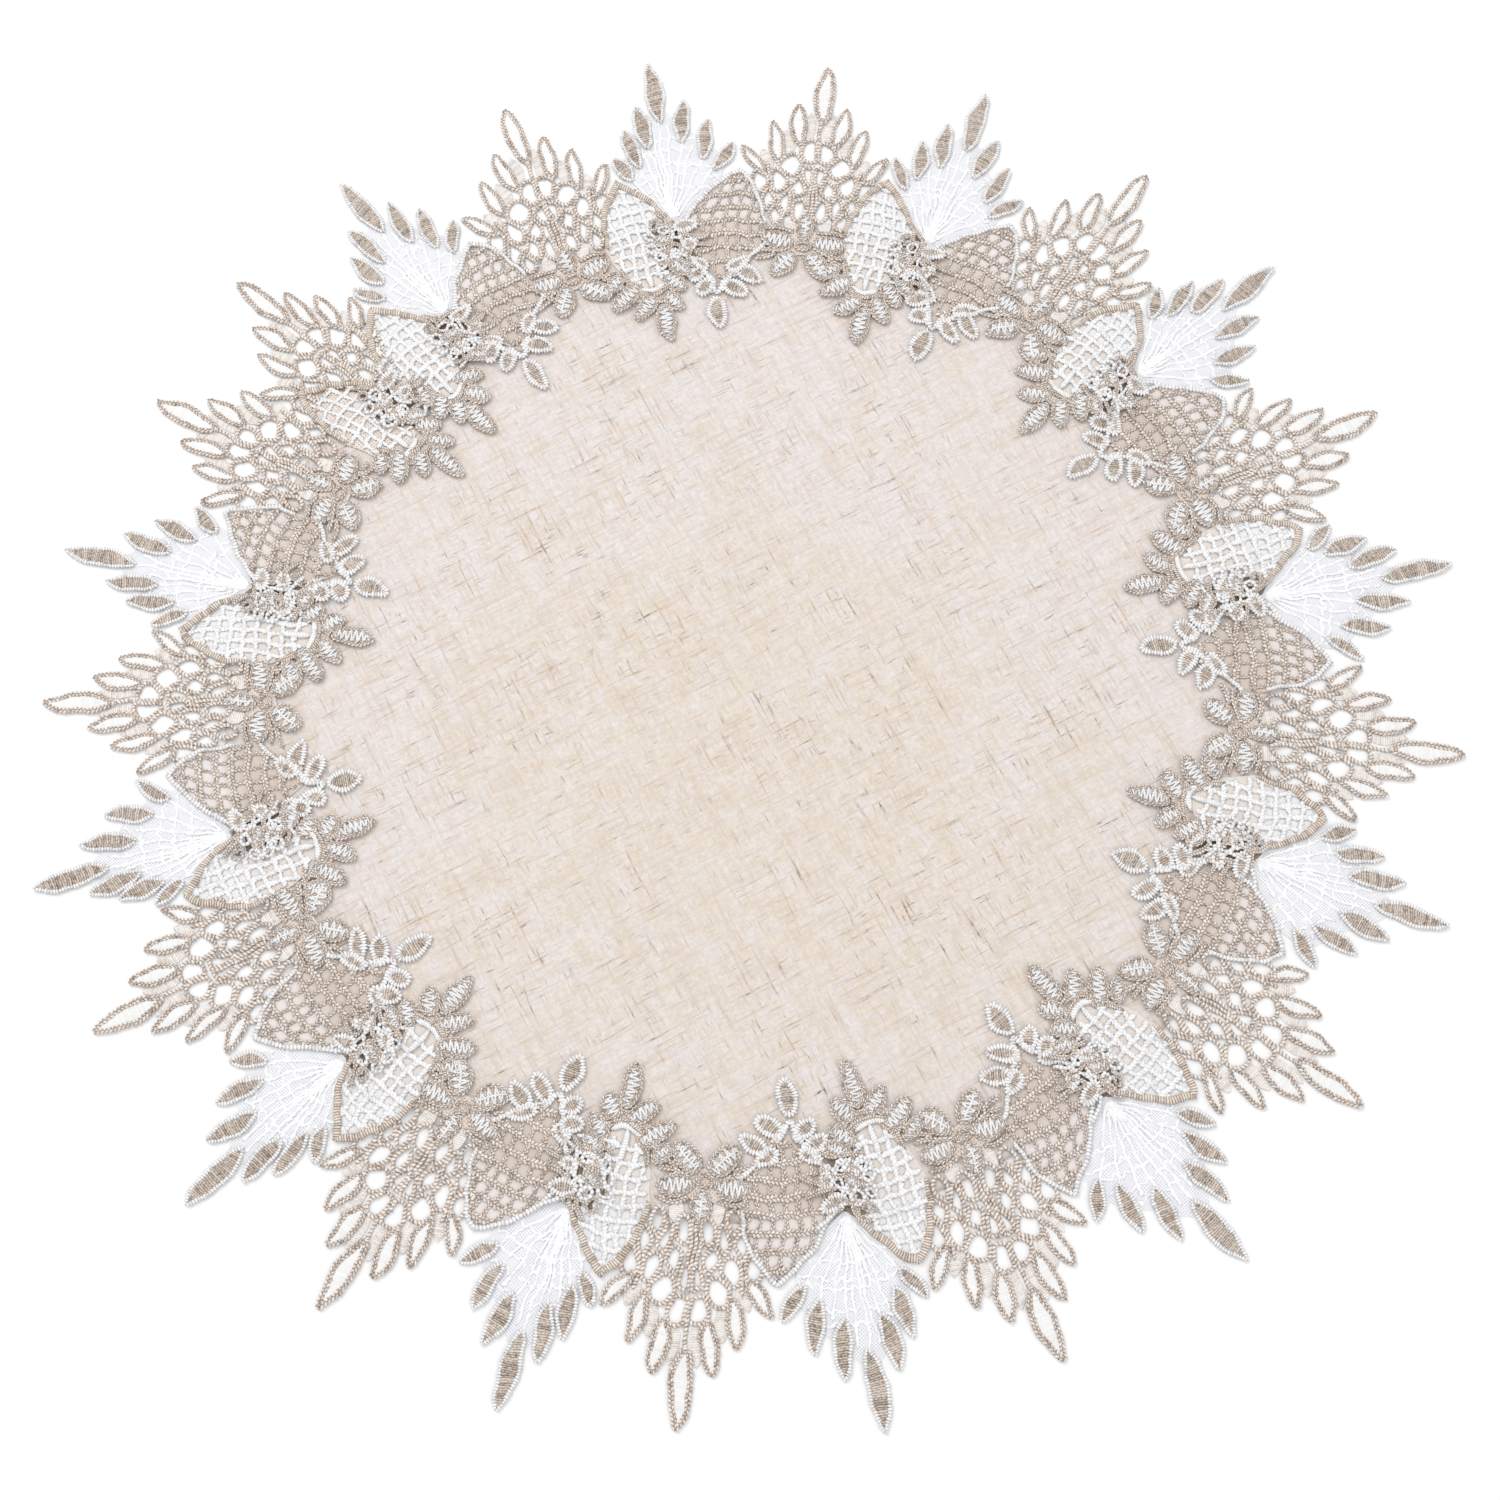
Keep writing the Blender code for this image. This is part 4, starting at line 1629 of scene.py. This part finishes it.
class Nodes:
    """A short way to add nodes to a tree. A value is a socket, or a number, vector or colour."""

    def __init__(self, tree: bpy.types.NodeTree) -> None:
        """Keep the tree."""
        self.tree = tree

    def fill(self, target: Socket, value: Value) -> None:
        """Give an input its value, by a link where the value is a socket.

        Args:
            target: the input.
            value: what it takes. A colour has three parts.
        """
        if isinstance(value, Socket):
            self.tree.links.new(value, target)
        elif target.type == "RGBA":
            target.default_value = (*value, 1.0)
        else:
            target.default_value = value

    def add(
        self, kind: str, inputs: Optional[dict[str | int, Value]] = None, **settings: object
    ) -> bpy.types.Node:
        """Add a node.

        Args:
            kind: Blender's name of the node.
            inputs: values by the input's name or place.
            settings: properties of the node, set before its inputs.

        Returns:
            The node.
        """
        node = self.tree.nodes.new(kind)
        for name, value in settings.items():
            setattr(node, name, value)
        for name, value in (inputs or {}).items():
            self.fill(node.inputs[name], value)
        return node

    def place(self) -> Socket:
        """The place on the piece, in metres."""
        return self.add("ShaderNodeTexCoord").outputs["Object"]

    def apart(self, vector: Socket) -> Sequence[Socket]:
        """The three parts of a vector."""
        return self.add("ShaderNodeSeparateXYZ", {0: vector}).outputs

    def chart(self) -> Sequence[Socket]:
        """The stitch map's two directions, and a third that is 0."""
        return self.apart(self.add("ShaderNodeUVMap", uv_map="stitch").outputs[0])

    def maths(self, operation: str, first: Value, second: Value = 0.0) -> Socket:
        """A Math node."""
        return self.add("ShaderNodeMath", {0: first, 1: second}, operation=operation).outputs[0]

    def plus(self, first: Value, second: Value) -> Socket:
        """The sum of two values."""
        return self.maths("ADD", first, second)

    def minus(self, first: Value, second: Value) -> Socket:
        """The difference of two values."""
        return self.maths("SUBTRACT", first, second)

    def times(self, first: Value, second: Value) -> Socket:
        """The product of two values."""
        return self.maths("MULTIPLY", first, second)

    def sine(self, value: Value, rate: float) -> Socket:
        """The sine of a value times a rate."""
        return self.maths("SINE", self.times(value, rate))

    def noise(self, place: Socket, scale: float, detail: float, roughness: float = 0.5) -> Socket:
        """A Noise node's value at a place."""
        inputs = {"Vector": place, "Scale": scale, "Detail": detail, "Roughness": roughness}
        return self.add("ShaderNodeTexNoise", inputs).outputs[0]

    def bent(self, place: Socket, scale: float, detail: float, reach: float = 0.0012) -> Socket:
        """A place moved sideways by up to a reach: the colour of a noise there, times the reach, plus it.

        Args:
            place: the place.
            scale: the noise's scale.
            detail: its detail.
            reach: the farthest move, in metres.

        Returns:
            The moved place.
        """
        noise = self.add("ShaderNodeTexNoise", {"Vector": place, "Scale": scale, "Detail": detail})
        inputs = {0: noise.outputs["Color"], 1: (reach, reach, 0.0), 2: place}
        return self.add("ShaderNodeVectorMath", inputs, operation="MULTIPLY_ADD").outputs[0]

    def spread(self, value: Socket, low: float, high: float, start: float = 0.0, end: float = 1.0) -> Socket:
        """A Map Range node from low..high to start..end, held at both ends."""
        inputs = {"Value": value, "From Min": low, "From Max": high, "To Min": start, "To Max": end}
        return self.add("ShaderNodeMapRange", inputs).outputs[0]

    def blend(self, share: Value, first: Value, second: Value, how: str = "MIX") -> Socket:
        """A colour Mix node."""
        inputs = {0: share, 6: first, 7: second}
        return self.add("ShaderNodeMix", inputs, data_type="RGBA", blend_type=how).outputs[2]

    def bump(self, height: Socket, strength: float, distance: float) -> Socket:
        """A Bump node's normal."""
        inputs = {"Height": height, "Strength": strength, "Distance": distance}
        return self.add("ShaderNodeBump", inputs).outputs[0]


class Surface(Nodes):
    """The nodes of a new material, round its shader."""

    def __init__(self, name: str) -> None:
        """Make the material."""
        self.material = bpy.data.materials.new(name)
        self.material.use_nodes = True
        super().__init__(self.material.node_tree)

    def shade(self, inputs: dict[str, Value]) -> bpy.types.Material:
        """Fill the shader's inputs.

        Args:
            inputs: values by the input's name.

        Returns:
            The material.
        """
        shader = self.tree.nodes["Principled BSDF"]
        for name, value in inputs.items():
            self.fill(shader.inputs[name], value)
        return self.material


THREAD_GROUP = "stitched thread"
# The stitched-thread group's inputs and their defaults. One of them sets how far the grooves between stitches
# are darkened as painted shade.
THREAD_INPUTS: dict[str, float | Triple] = {
    "Dark": (0.2, 0.2, 0.2), "Mid": (0.5, 0.5, 0.5), "Light": (0.8, 0.8, 0.8),
    "Slant": 1.0, "Furrow": 0.5, "Speck": 0.5, "Strands": 0.0,
}


def thread_group() -> None:
    """Make the node group of stitched thread, which gives a colour and a height by the stitch map.

    Each stitch has its own tone between a dark and a light colour, slants across the work and stands up
    round. Its top is lightened towards the light colour as a painted highlight, and the groove that parts it
    from the next is darkened towards the dark colour as painted shade. Strands, when 1, splits the work along
    its ridge, a third of the way round, into two rows of stitches set half a stitch apart.
    """
    group = bpy.data.node_groups.new(THREAD_GROUP, "ShaderNodeTree")
    for label, value in THREAD_INPUTS.items():
        kind = "NodeSocketColor" if isinstance(value, tuple) else "NodeSocketFloat"
        socket = group.interface.new_socket(label, in_out="INPUT", socket_type=kind)
        socket.default_value = (*value, 1.0) if isinstance(value, tuple) else value
    group.interface.new_socket("Color", in_out="OUTPUT", socket_type="NodeSocketColor")
    group.interface.new_socket("Height", in_out="OUTPUT", socket_type="NodeSocketFloat")
    nodes = Nodes(group)
    given = nodes.add("NodeGroupInput").outputs
    result = nodes.add("NodeGroupOutput").inputs
    along, across, _ = nodes.chart()
    tone = nodes.add("ShaderNodeAttribute", attribute_name="tone").outputs["Fac"]
    ridge, tone_step, row_step = 1.0 / 3.0, 997.0, 333.3
    from_ridge = nodes.minus(across, ridge)
    fold = nodes.maths("ABSOLUTE", from_ridge)
    second_row = nodes.times(nodes.maths("GREATER_THAN", from_ridge), given["Strands"])
    unfolded = nodes.times(across, nodes.minus(1.0, given["Strands"]))
    lean = nodes.times(nodes.plus(unfolded, nodes.times(fold, given["Strands"])), given["Slant"])
    count = nodes.plus(nodes.plus(along, nodes.times(second_row, 0.5)), lean)
    stitch = nodes.plus(nodes.maths("FLOOR", count), nodes.times(tone, tone_step))
    stitch = nodes.plus(stitch, nodes.times(second_row, row_step))
    chance = nodes.add("ShaderNodeTexWhiteNoise", {"W": stitch}, noise_dimensions="1D").outputs[0]
    speck = nodes.noise(nodes.place(), 1900.0, 1.0)
    spread = nodes.times(nodes.minus(speck, 0.5), given["Speck"])
    share = nodes.plus(nodes.plus(nodes.times(chance, 0.7), 0.15), spread)
    colour = nodes.blend(nodes.spread(share, -0.05, 0.42), given["Dark"], given["Mid"])
    colour = nodes.blend(nodes.spread(share, 0.48, 0.95), colour, given["Light"])
    # Painted shade: the groove between stitches, and the groove between the two rows, are darkened towards
    # the dark colour.
    groove = nodes.times(nodes.spread(fold, 0.0, 0.07, 1.0, 0.0), given["Strands"])
    wave = nodes.minus(nodes.maths("ABSOLUTE", nodes.sine(count, pi)), nodes.times(groove, 0.6))
    deep = nodes.maths("POWER", nodes.minus(1.0, wave), 2.0)
    colour = nodes.blend(nodes.times(deep, given["Furrow"]), colour, given["Dark"])
    # Painted highlight: the top of each stitch is lightened towards the light colour, more where the speckle
    # is high.
    painted_highlight = nodes.times(nodes.spread(wave, 0.75, 1.0, 0.0, 0.8), speck)
    nodes.fill(result["Color"], nodes.blend(painted_highlight, colour, given["Light"]))
    nodes.fill(result["Height"], nodes.plus(wave, nodes.times(speck, 0.4)))


@dataclass(frozen=True)
class ThreadFinish:
    """A thread's colours, and how it is stitched and matt."""

    name: str
    dark: Triple
    mid: Triple
    light: Triple
    slant: float = 1.0
    # How far the groove between stitches is darkened towards the dark colour, as painted shade.
    furrow: float = 0.5
    speck: float = 0.9
    bump: float = 0.5
    depth: float = 0.00025
    roughness: float = 0.62
    sheen: float = 0.2
    gloss: float = 0.3
    strands: float = 0.0

    def material(self) -> bpy.types.Material:
        """Make the material round the stitched-thread group, whose inputs are fields of the same names.

        Returns:
            The material.
        """
        nodes = Surface(self.name)
        inputs = {label: getattr(self, label.lower()) for label in THREAD_INPUTS}
        group = bpy.data.node_groups[THREAD_GROUP]
        thread = nodes.add("ShaderNodeGroup", inputs, node_tree=group).outputs
        return nodes.shade({
            "Base Color": thread["Color"],
            "Normal": nodes.bump(thread["Height"], self.bump, self.depth),
            "Roughness": self.roughness,
            "Sheen Weight": self.sheen,
            "Specular IOR Level": self.gloss,
        })


TAUPE_CORD = ThreadFinish(
    "taupe_cord", (0.25, 0.175, 0.13), (0.82, 0.712, 0.632), (1.0, 0.94, 0.88), slant=0.9, furrow=0.75,
    speck=1.2, bump=0.8, depth=0.0004,
)
TAUPE_ROPE = replace(
    TAUPE_CORD, name="taupe_rope", mid=(0.832, 0.724, 0.644), slant=1.6, furrow=0.7, strands=1.0
)
CREAM_ROPE = ThreadFinish(
    "cream_rope", (0.24, 0.165, 0.11), (0.78, 0.655, 0.555), (1.0, 0.92, 0.83), slant=0.5, furrow=0.75,
    speck=0.8, bump=0.8, depth=0.0004,
)
TAUPE_SATIN = ThreadFinish(
    "taupe_satin", (0.16, 0.115, 0.09), (0.47, 0.385, 0.325), (0.78, 0.69, 0.61), slant=0.5, furrow=0.6,
    speck=1.8, bump=0.6, depth=0.0003,
)
BASE_SATIN = ThreadFinish(
    "base_satin", (0.36, 0.285, 0.235), (0.67, 0.58, 0.51), (0.86, 0.78, 0.70), slant=0.4, speck=1.2
)
WEB = ThreadFinish(
    "taupe_web", (0.56, 0.49, 0.44), (0.82, 0.77, 0.73), (0.94, 0.91, 0.88), slant=0.4, furrow=0.35, speck=1.4
)
WHITE_THREAD = ThreadFinish(
    "white_thread", (0.66, 0.65, 0.65), (0.92, 0.915, 0.92), (0.97, 0.965, 0.97), furrow=0.4,
    speck=0.7, bump=0.6, depth=0.0003,
)
WHITE_TEETH = replace(
    WHITE_THREAD, name="white_teeth", dark=(0.50, 0.47, 0.45), slant=0.0, furrow=0.6, bump=0.8
)
LEAF_THREAD = ThreadFinish(
    "leaf_thread", (0.80, 0.80, 0.84), (0.93, 0.93, 0.945), (0.98, 0.98, 0.985), speck=0.8, bump=0.3
)
WHITE_SATIN = ThreadFinish(
    "white_satin", (0.74, 0.735, 0.735), (0.84, 0.835, 0.835), (0.92, 0.915, 0.91), slant=0.4,
    furrow=0.25, speck=0.6, bump=0.25,
)


@dataclass(frozen=True)
class NetFinish:
    """A fine net: thread colour with small round holes on a square grid, as a mask of the surface.

    veil is how far the mask's edge is spread, and thin what is left of the net in a hole, so that a very fine
    net reads as an even veil. inner tints it where it lies on the linen, inside the linen_edge. shade is
    painted shade, blended into the thread colour in cloudy patches.
    """

    name: str
    thread: Triple
    shade: Triple
    pitch: float
    open_share: float
    veil: float = 0.06
    thin: float = 0.0
    inner: Triple = (1.0, 1.0, 1.0)
    linen_edge: tuple[float, float] = (143.0, 149.0)

    def material(self) -> bpy.types.Material:
        """Make the material: the mask is a product of two sines of the place, cut at a level.

        Returns:
            The material.
        """
        nodes = Surface(self.name)
        place = nodes.place()
        right, up, _ = nodes.apart(nodes.bent(place, 160.0, 2.0))
        rate = 2 * pi / (self.pitch * MM)
        closed = 1.0 - self.open_share
        grid = nodes.times(nodes.sine(right, rate), nodes.sine(up, rate))
        # Cloudy patches of painted shade, which also give the net its bump.
        shade_patches = nodes.noise(place, 280.0, 4.0)
        radius = nodes.chart()[0]
        on_linen = nodes.spread(radius, *self.linen_edge, 1.0, 0.0)
        return nodes.shade({
            "Base Color": nodes.blend(
                on_linen, nodes.blend(shade_patches, self.shade, self.thread), self.inner, "MULTIPLY"
            ),
            "Alpha": nodes.spread(grid, closed, closed + self.veil, 1.0, self.thin),
            "Normal": nodes.bump(shade_patches, 0.5, 0.0003),
            "Roughness": 0.7,
            "Specular IOR Level": 0.25,
        })


LEAF_NET = NetFinish("leaf_net", (0.95, 0.95, 0.97), (0.76, 0.765, 0.81), 0.9, 1.3, veil=1.5, thin=0.55)
BAND_NET = NetFinish("band_net", (0.88, 0.79, 0.72), (0.70, 0.60, 0.53), 1.2, 0.9, veil=1.0, thin=0.4)
POD_NET = NetFinish(
    "pod_net", (0.96, 0.955, 0.965), (0.88, 0.87, 0.88), 0.6, 1.3, veil=1.6, thin=0.5,
    inner=(0.93, 0.86, 0.79),
)
TAUPE_POD_NET = replace(
    POD_NET, name="taupe_pod_net", thread=(0.92, 0.87, 0.85), shade=(0.80, 0.74, 0.71), thin=0.55,
    inner=(0.82, 0.755, 0.69),
)
# The taupe net of a fold, darkened to near black as painted shade for its deep holes.
GATHER_SHADE_NET = NetFinish("gather_shade_net", (0.42, 0.33, 0.26), (0.08, 0.06, 0.04), 1.5, 0.2)


@dataclass(frozen=True)
class LinenFinish:
    """Plain-weave linen: two sets of threads at right angles, turned from the doily's axes, cloudy patches of
    two near colours, and short darker slubs along both sets.

    bands, spots and dashes are how often a noise changes along x and y of the turned place, per metre.
    """

    turn: float = 28.0
    thread_pitch: float = 0.8
    pale: Triple = (0.76, 0.715, 0.705)
    warm: Triple = (0.745, 0.675, 0.60)
    tan: Triple = (0.69, 0.585, 0.48)
    slub: Triple = (0.56, 0.42, 0.305)
    dark_slub: Triple = (0.25, 0.17, 0.12)
    patch_middle: Triple = (0.0, -0.03, 0.0)
    bands: Rows = ((24.0, 450.0), (450.0, 24.0), (60.0, 1200.0), (1200.0, 60.0))
    band_share: float = 0.66
    spots: Rows = ((60.0, 170.0), (170.0, 60.0), (230.0, 230.0))
    spot_share: float = 0.65
    dashes: Rows = ((50.0, 950.0), (160.0, 1150.0), (950.0, 50.0), (1150.0, 160.0))
    dash_levels: tuple[float, ...] = (0.595, 0.595, 0.60, 0.60)
    dash_spread: float = 0.11

    def streak(
        self, nodes: Nodes, place: Socket, often: tuple[float, float], low: float, high: float
    ) -> Socket:
        """Noise drawn out along one set of threads, spread from 0 to 1 between two of its levels."""
        drawn = nodes.add("ShaderNodeMapping", {"Vector": place, "Scale": (*often, 1.0)}).outputs[0]
        return nodes.spread(nodes.noise(drawn, 1.0, 2.5, 0.55), low, high)

    def cloth(self, nodes: Nodes, whole: Socket, place: Socket) -> Socket:
        """The colour without slubs: patches that are paler towards the rim, tan bands and pale spots.

        Args:
            nodes: the material's nodes.
            whole: the place on the piece.
            place: the same, turned with the threads.

        Returns:
            The colour.
        """
        inputs = {0: whole, 1: self.patch_middle}
        away = nodes.add("ShaderNodeVectorMath", inputs, operation="DISTANCE").outputs["Value"]
        patch = nodes.plus(nodes.noise(whole, 30.0, 3.0), nodes.spread(away, 0.03, 0.14, 0.3, -0.4))
        colour = nodes.blend(nodes.spread(patch, 0.30, 0.70), self.pale, self.warm)
        for often in self.bands:
            band = self.streak(nodes, place, often, 0.48, 0.76)
            colour = nodes.blend(nodes.times(band, self.band_share), colour, self.tan)
        for often in self.spots:
            spot = self.streak(nodes, place, often, 0.52, 0.72)
            colour = nodes.blend(nodes.times(spot, self.spot_share), colour, self.pale)
        return colour

    def slubs(self, nodes: Nodes, place: Socket, grain: Socket) -> Socket:
        """A mask of short dashes along both sets of threads, broken into dots by a fine noise.

        Args:
            nodes: the material's nodes.
            place: the place, turned with the threads.
            grain: the fine noise.

        Returns:
            The mask.
        """
        found: Value = 0.0
        for often, level in zip(self.dashes, self.dash_levels):
            dash = self.streak(nodes, place, often, level, level + self.dash_spread)
            found = nodes.maths("MAXIMUM", found, dash)
        return nodes.times(found, nodes.spread(grain, 0.42, 0.56, 0.35, 1.0))

    def material(self) -> bpy.types.Material:
        """Make the material: the weave's height is a product of two sines of the turned place.

        Returns:
            The material.
        """
        nodes = Surface("slub_linen")
        whole = nodes.place()
        turned = {"Vector": nodes.bent(whole, 60.0, 3.0), "Rotation": (0.0, 0.0, radians(-self.turn))}
        place = nodes.add("ShaderNodeMapping", turned).outputs[0]
        grain = nodes.noise(whole, 900.0, 3.0)
        slubs = self.slubs(nodes, place, grain)
        crowd = nodes.spread(nodes.noise(whole, 38.0, 2.0), 0.36, 0.60, 0.30, 1.0)
        rare = nodes.spread(nodes.noise(whole, 200.0, 1.0), 0.47, 0.68)
        fleck = {0: self.cloth(nodes, whole, place), "Scale": nodes.spread(grain, 0.35, 0.65, 0.93, 1.04)}
        flecked = nodes.add("ShaderNodeVectorMath", fleck, operation="SCALE").outputs[0]
        right, up, _ = nodes.apart(place)
        rate = 2 * pi / (self.thread_pitch * MM)
        weave = nodes.times(nodes.times(nodes.sine(right, rate), nodes.sine(up, rate)), 0.5)
        height = nodes.plus(nodes.plus(weave, grain), nodes.times(slubs, 0.8))
        slub_colour = nodes.blend(rare, self.slub, self.dark_slub)
        return nodes.shade({
            "Base Color": nodes.blend(nodes.times(slubs, crowd), flecked, slub_colour),
            "Normal": nodes.bump(height, 0.35, 0.0002),
            "Roughness": 0.85,
            "Sheen Weight": 0.15,
            "Specular IOR Level": 0.2,
        })


# ------------------------------------------------------------------------------------------------ studio


@dataclass(frozen=True)
class Studio:
    """The plain pale floor, the soft lights and the camera, which looks down from the doily's lower side."""

    elevation: float = 74.0
    distance: float = 0.579
    target: tuple[float, float] = (0.0001, -0.0174)
    lens: float = 50.0
    sensor: float = 36.0
    floor_size: float = 3.0
    surrounding_strength: float = 0.68

    def build(self) -> None:
        """Make all of it."""
        self.floor()
        self.light("key_light", place=(-0.5, 0.55, 1.25), size=0.9, power=9.0)
        self.light("fill_light", place=(0.7, -0.5, 1.4), size=1.6, power=6.0)
        self.surroundings()
        self.camera()

    def floor(self) -> None:
        """A flat square."""
        half = self.floor_size / 2
        mesh = bpy.data.meshes.new("floor")
        corners = [(-half, -half, 0.0), (half, -half, 0.0), (half, half, 0.0), (-half, half, 0.0)]
        mesh.from_pydata(corners, [], [(0, 1, 2, 3)])
        shader = {"Base Color": (0.94, 0.94, 0.945), "Roughness": 0.9, "Specular IOR Level": 0.1}
        mesh.materials.append(Surface("floor_white").shade(shader))
        link_object("floor", mesh)

    def light(self, name: str, place: Triple, size: float, power: float) -> None:
        """A square area light that points at the doily's middle.

        Args:
            name: its name.
            place: where it stands, in metres.
            size: its side, in metres.
            power: its power, in watts.
        """
        lamp = bpy.data.lights.new(name, "AREA")
        lamp.shape = "SQUARE"
        lamp.size = size
        lamp.energy = power
        made = link_object(name, lamp)
        made.location = place
        made.rotation_euler = (-made.location).to_track_quat("-Z", "Y").to_euler()

    def surroundings(self) -> None:
        """An even, near-white surrounding light."""
        world = bpy.data.worlds.new("studio")
        world.use_nodes = True
        background = world.node_tree.nodes["Background"]
        background.inputs["Color"].default_value = (1.0, 1.0, 1.0, 1.0)
        background.inputs["Strength"].default_value = self.surrounding_strength
        bpy.context.scene.world = world
        bpy.context.scene.view_settings.view_transform = "Standard"

    def camera(self) -> None:
        """The camera, on an arc above the target."""
        data = bpy.data.cameras.new("camera")
        data.lens = self.lens
        data.sensor_width = self.sensor
        data.clip_start = 0.01
        camera = link_object("camera", data)
        tilt = radians(self.elevation)
        x, y = self.target
        camera.location = (x, y - self.distance * cos(tilt), self.distance * sin(tilt))
        camera.rotation_euler = (radians(90.0 - self.elevation), 0.0, 0.0)
        bpy.context.scene.camera = camera


# -------------------------------------------------------------------------------------------------- main


FINISHES: dict[str, ThreadFinish | NetFinish] = {
    "fan_net": TAUPE_CORD,
    "fan_webs": WEB,
    "taupe_rims": TAUPE_ROPE,
    "white_satin": WHITE_SATIN,
    "taupe_satin": TAUPE_SATIN,
    "leaf_rims": WHITE_TEETH,
    "leaf_veins": LEAF_THREAD,
    "leaf_ground": LEAF_NET,
    "white_mesh": WHITE_THREAD,
    "taupe_mesh": TAUPE_ROPE,
    "pod_rims_taupe": CREAM_ROPE,
    "pod_rims_white": WHITE_TEETH,
    "crown_rims_white": WHITE_TEETH,
    "petal_bases": BASE_SATIN,
    "zigzags": WHITE_THREAD,
    "gather_white": WHITE_TEETH,
    "gather_taupe": TAUPE_ROPE,
    # Painted shade: the dark net under the gathers and along the joint pod's rim.
    "gather_painted_shade": GATHER_SHADE_NET,
    "band_ground": BAND_NET,
    "pod_ground": POD_NET,
    "taupe_pod_ground": TAUPE_POD_NET,
}
# The nets. The gathers' dark net among them is painted shade.
GROUND_PIECES = ("leaf_ground", "band_ground", "gather_painted_shade", "pod_ground", "taupe_pod_ground")


def dress(piece: bpy.types.Object, finish: bpy.types.Material) -> bpy.types.Object:
    """Give a piece its material and its body, and report it.

    Args:
        piece: the piece.
        finish: its material.

    Returns:
        The piece.
    """
    piece.data.materials.append(finish)
    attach(piece, "root")
    LOG.info("%s: %d faces", piece.name, len(piece.data.polygons))
    return piece


def surface_area(piece: bpy.types.Object) -> float:
    """The area of a piece's mesh, in square metres."""
    areas = np.empty(len(piece.data.polygons), np.float32)
    piece.data.polygons.foreach_get("area", areas)
    return float(areas.sum())


def declare_sheets(
    grounds: Sequence[bpy.types.Object]
) -> None:
    """Work out the area of each net; nothing more is done with it.

    Args:
        grounds: the nets.
    """
    for number, ground in enumerate(grounds):
        area = surface_area(ground)


def main() -> None:
    """Build the doily class by class, dress it and set it in the studio."""
    logging.basicConfig(level=logging.INFO, format="%(name)s: %(message)s")
    layout = StripLayout()
    lie = Lie(layout)
    works = {piece.name: ThreadWork(piece.name, lie, seed) for seed, piece in enumerate(fields(Threads))}
    LaceBorder(layout, Threads(**works)).build()
    thread_group()
    finishes = {finish.name: finish.material() for finish in FINISHES.values()}
    pieces = {
        name: dress(work.build(), finishes[FINISHES[name].name])
        for name, work in works.items()
    }
    linen = dress(LinenCentre().build(), LinenFinish().material())
    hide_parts("linen_centre")
    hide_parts("lace_border")
    grounds = [pieces[name] for name in GROUND_PIECES]
    declare_sheets(grounds)
    Studio().build()


if __name__ == "__main__":
    main()
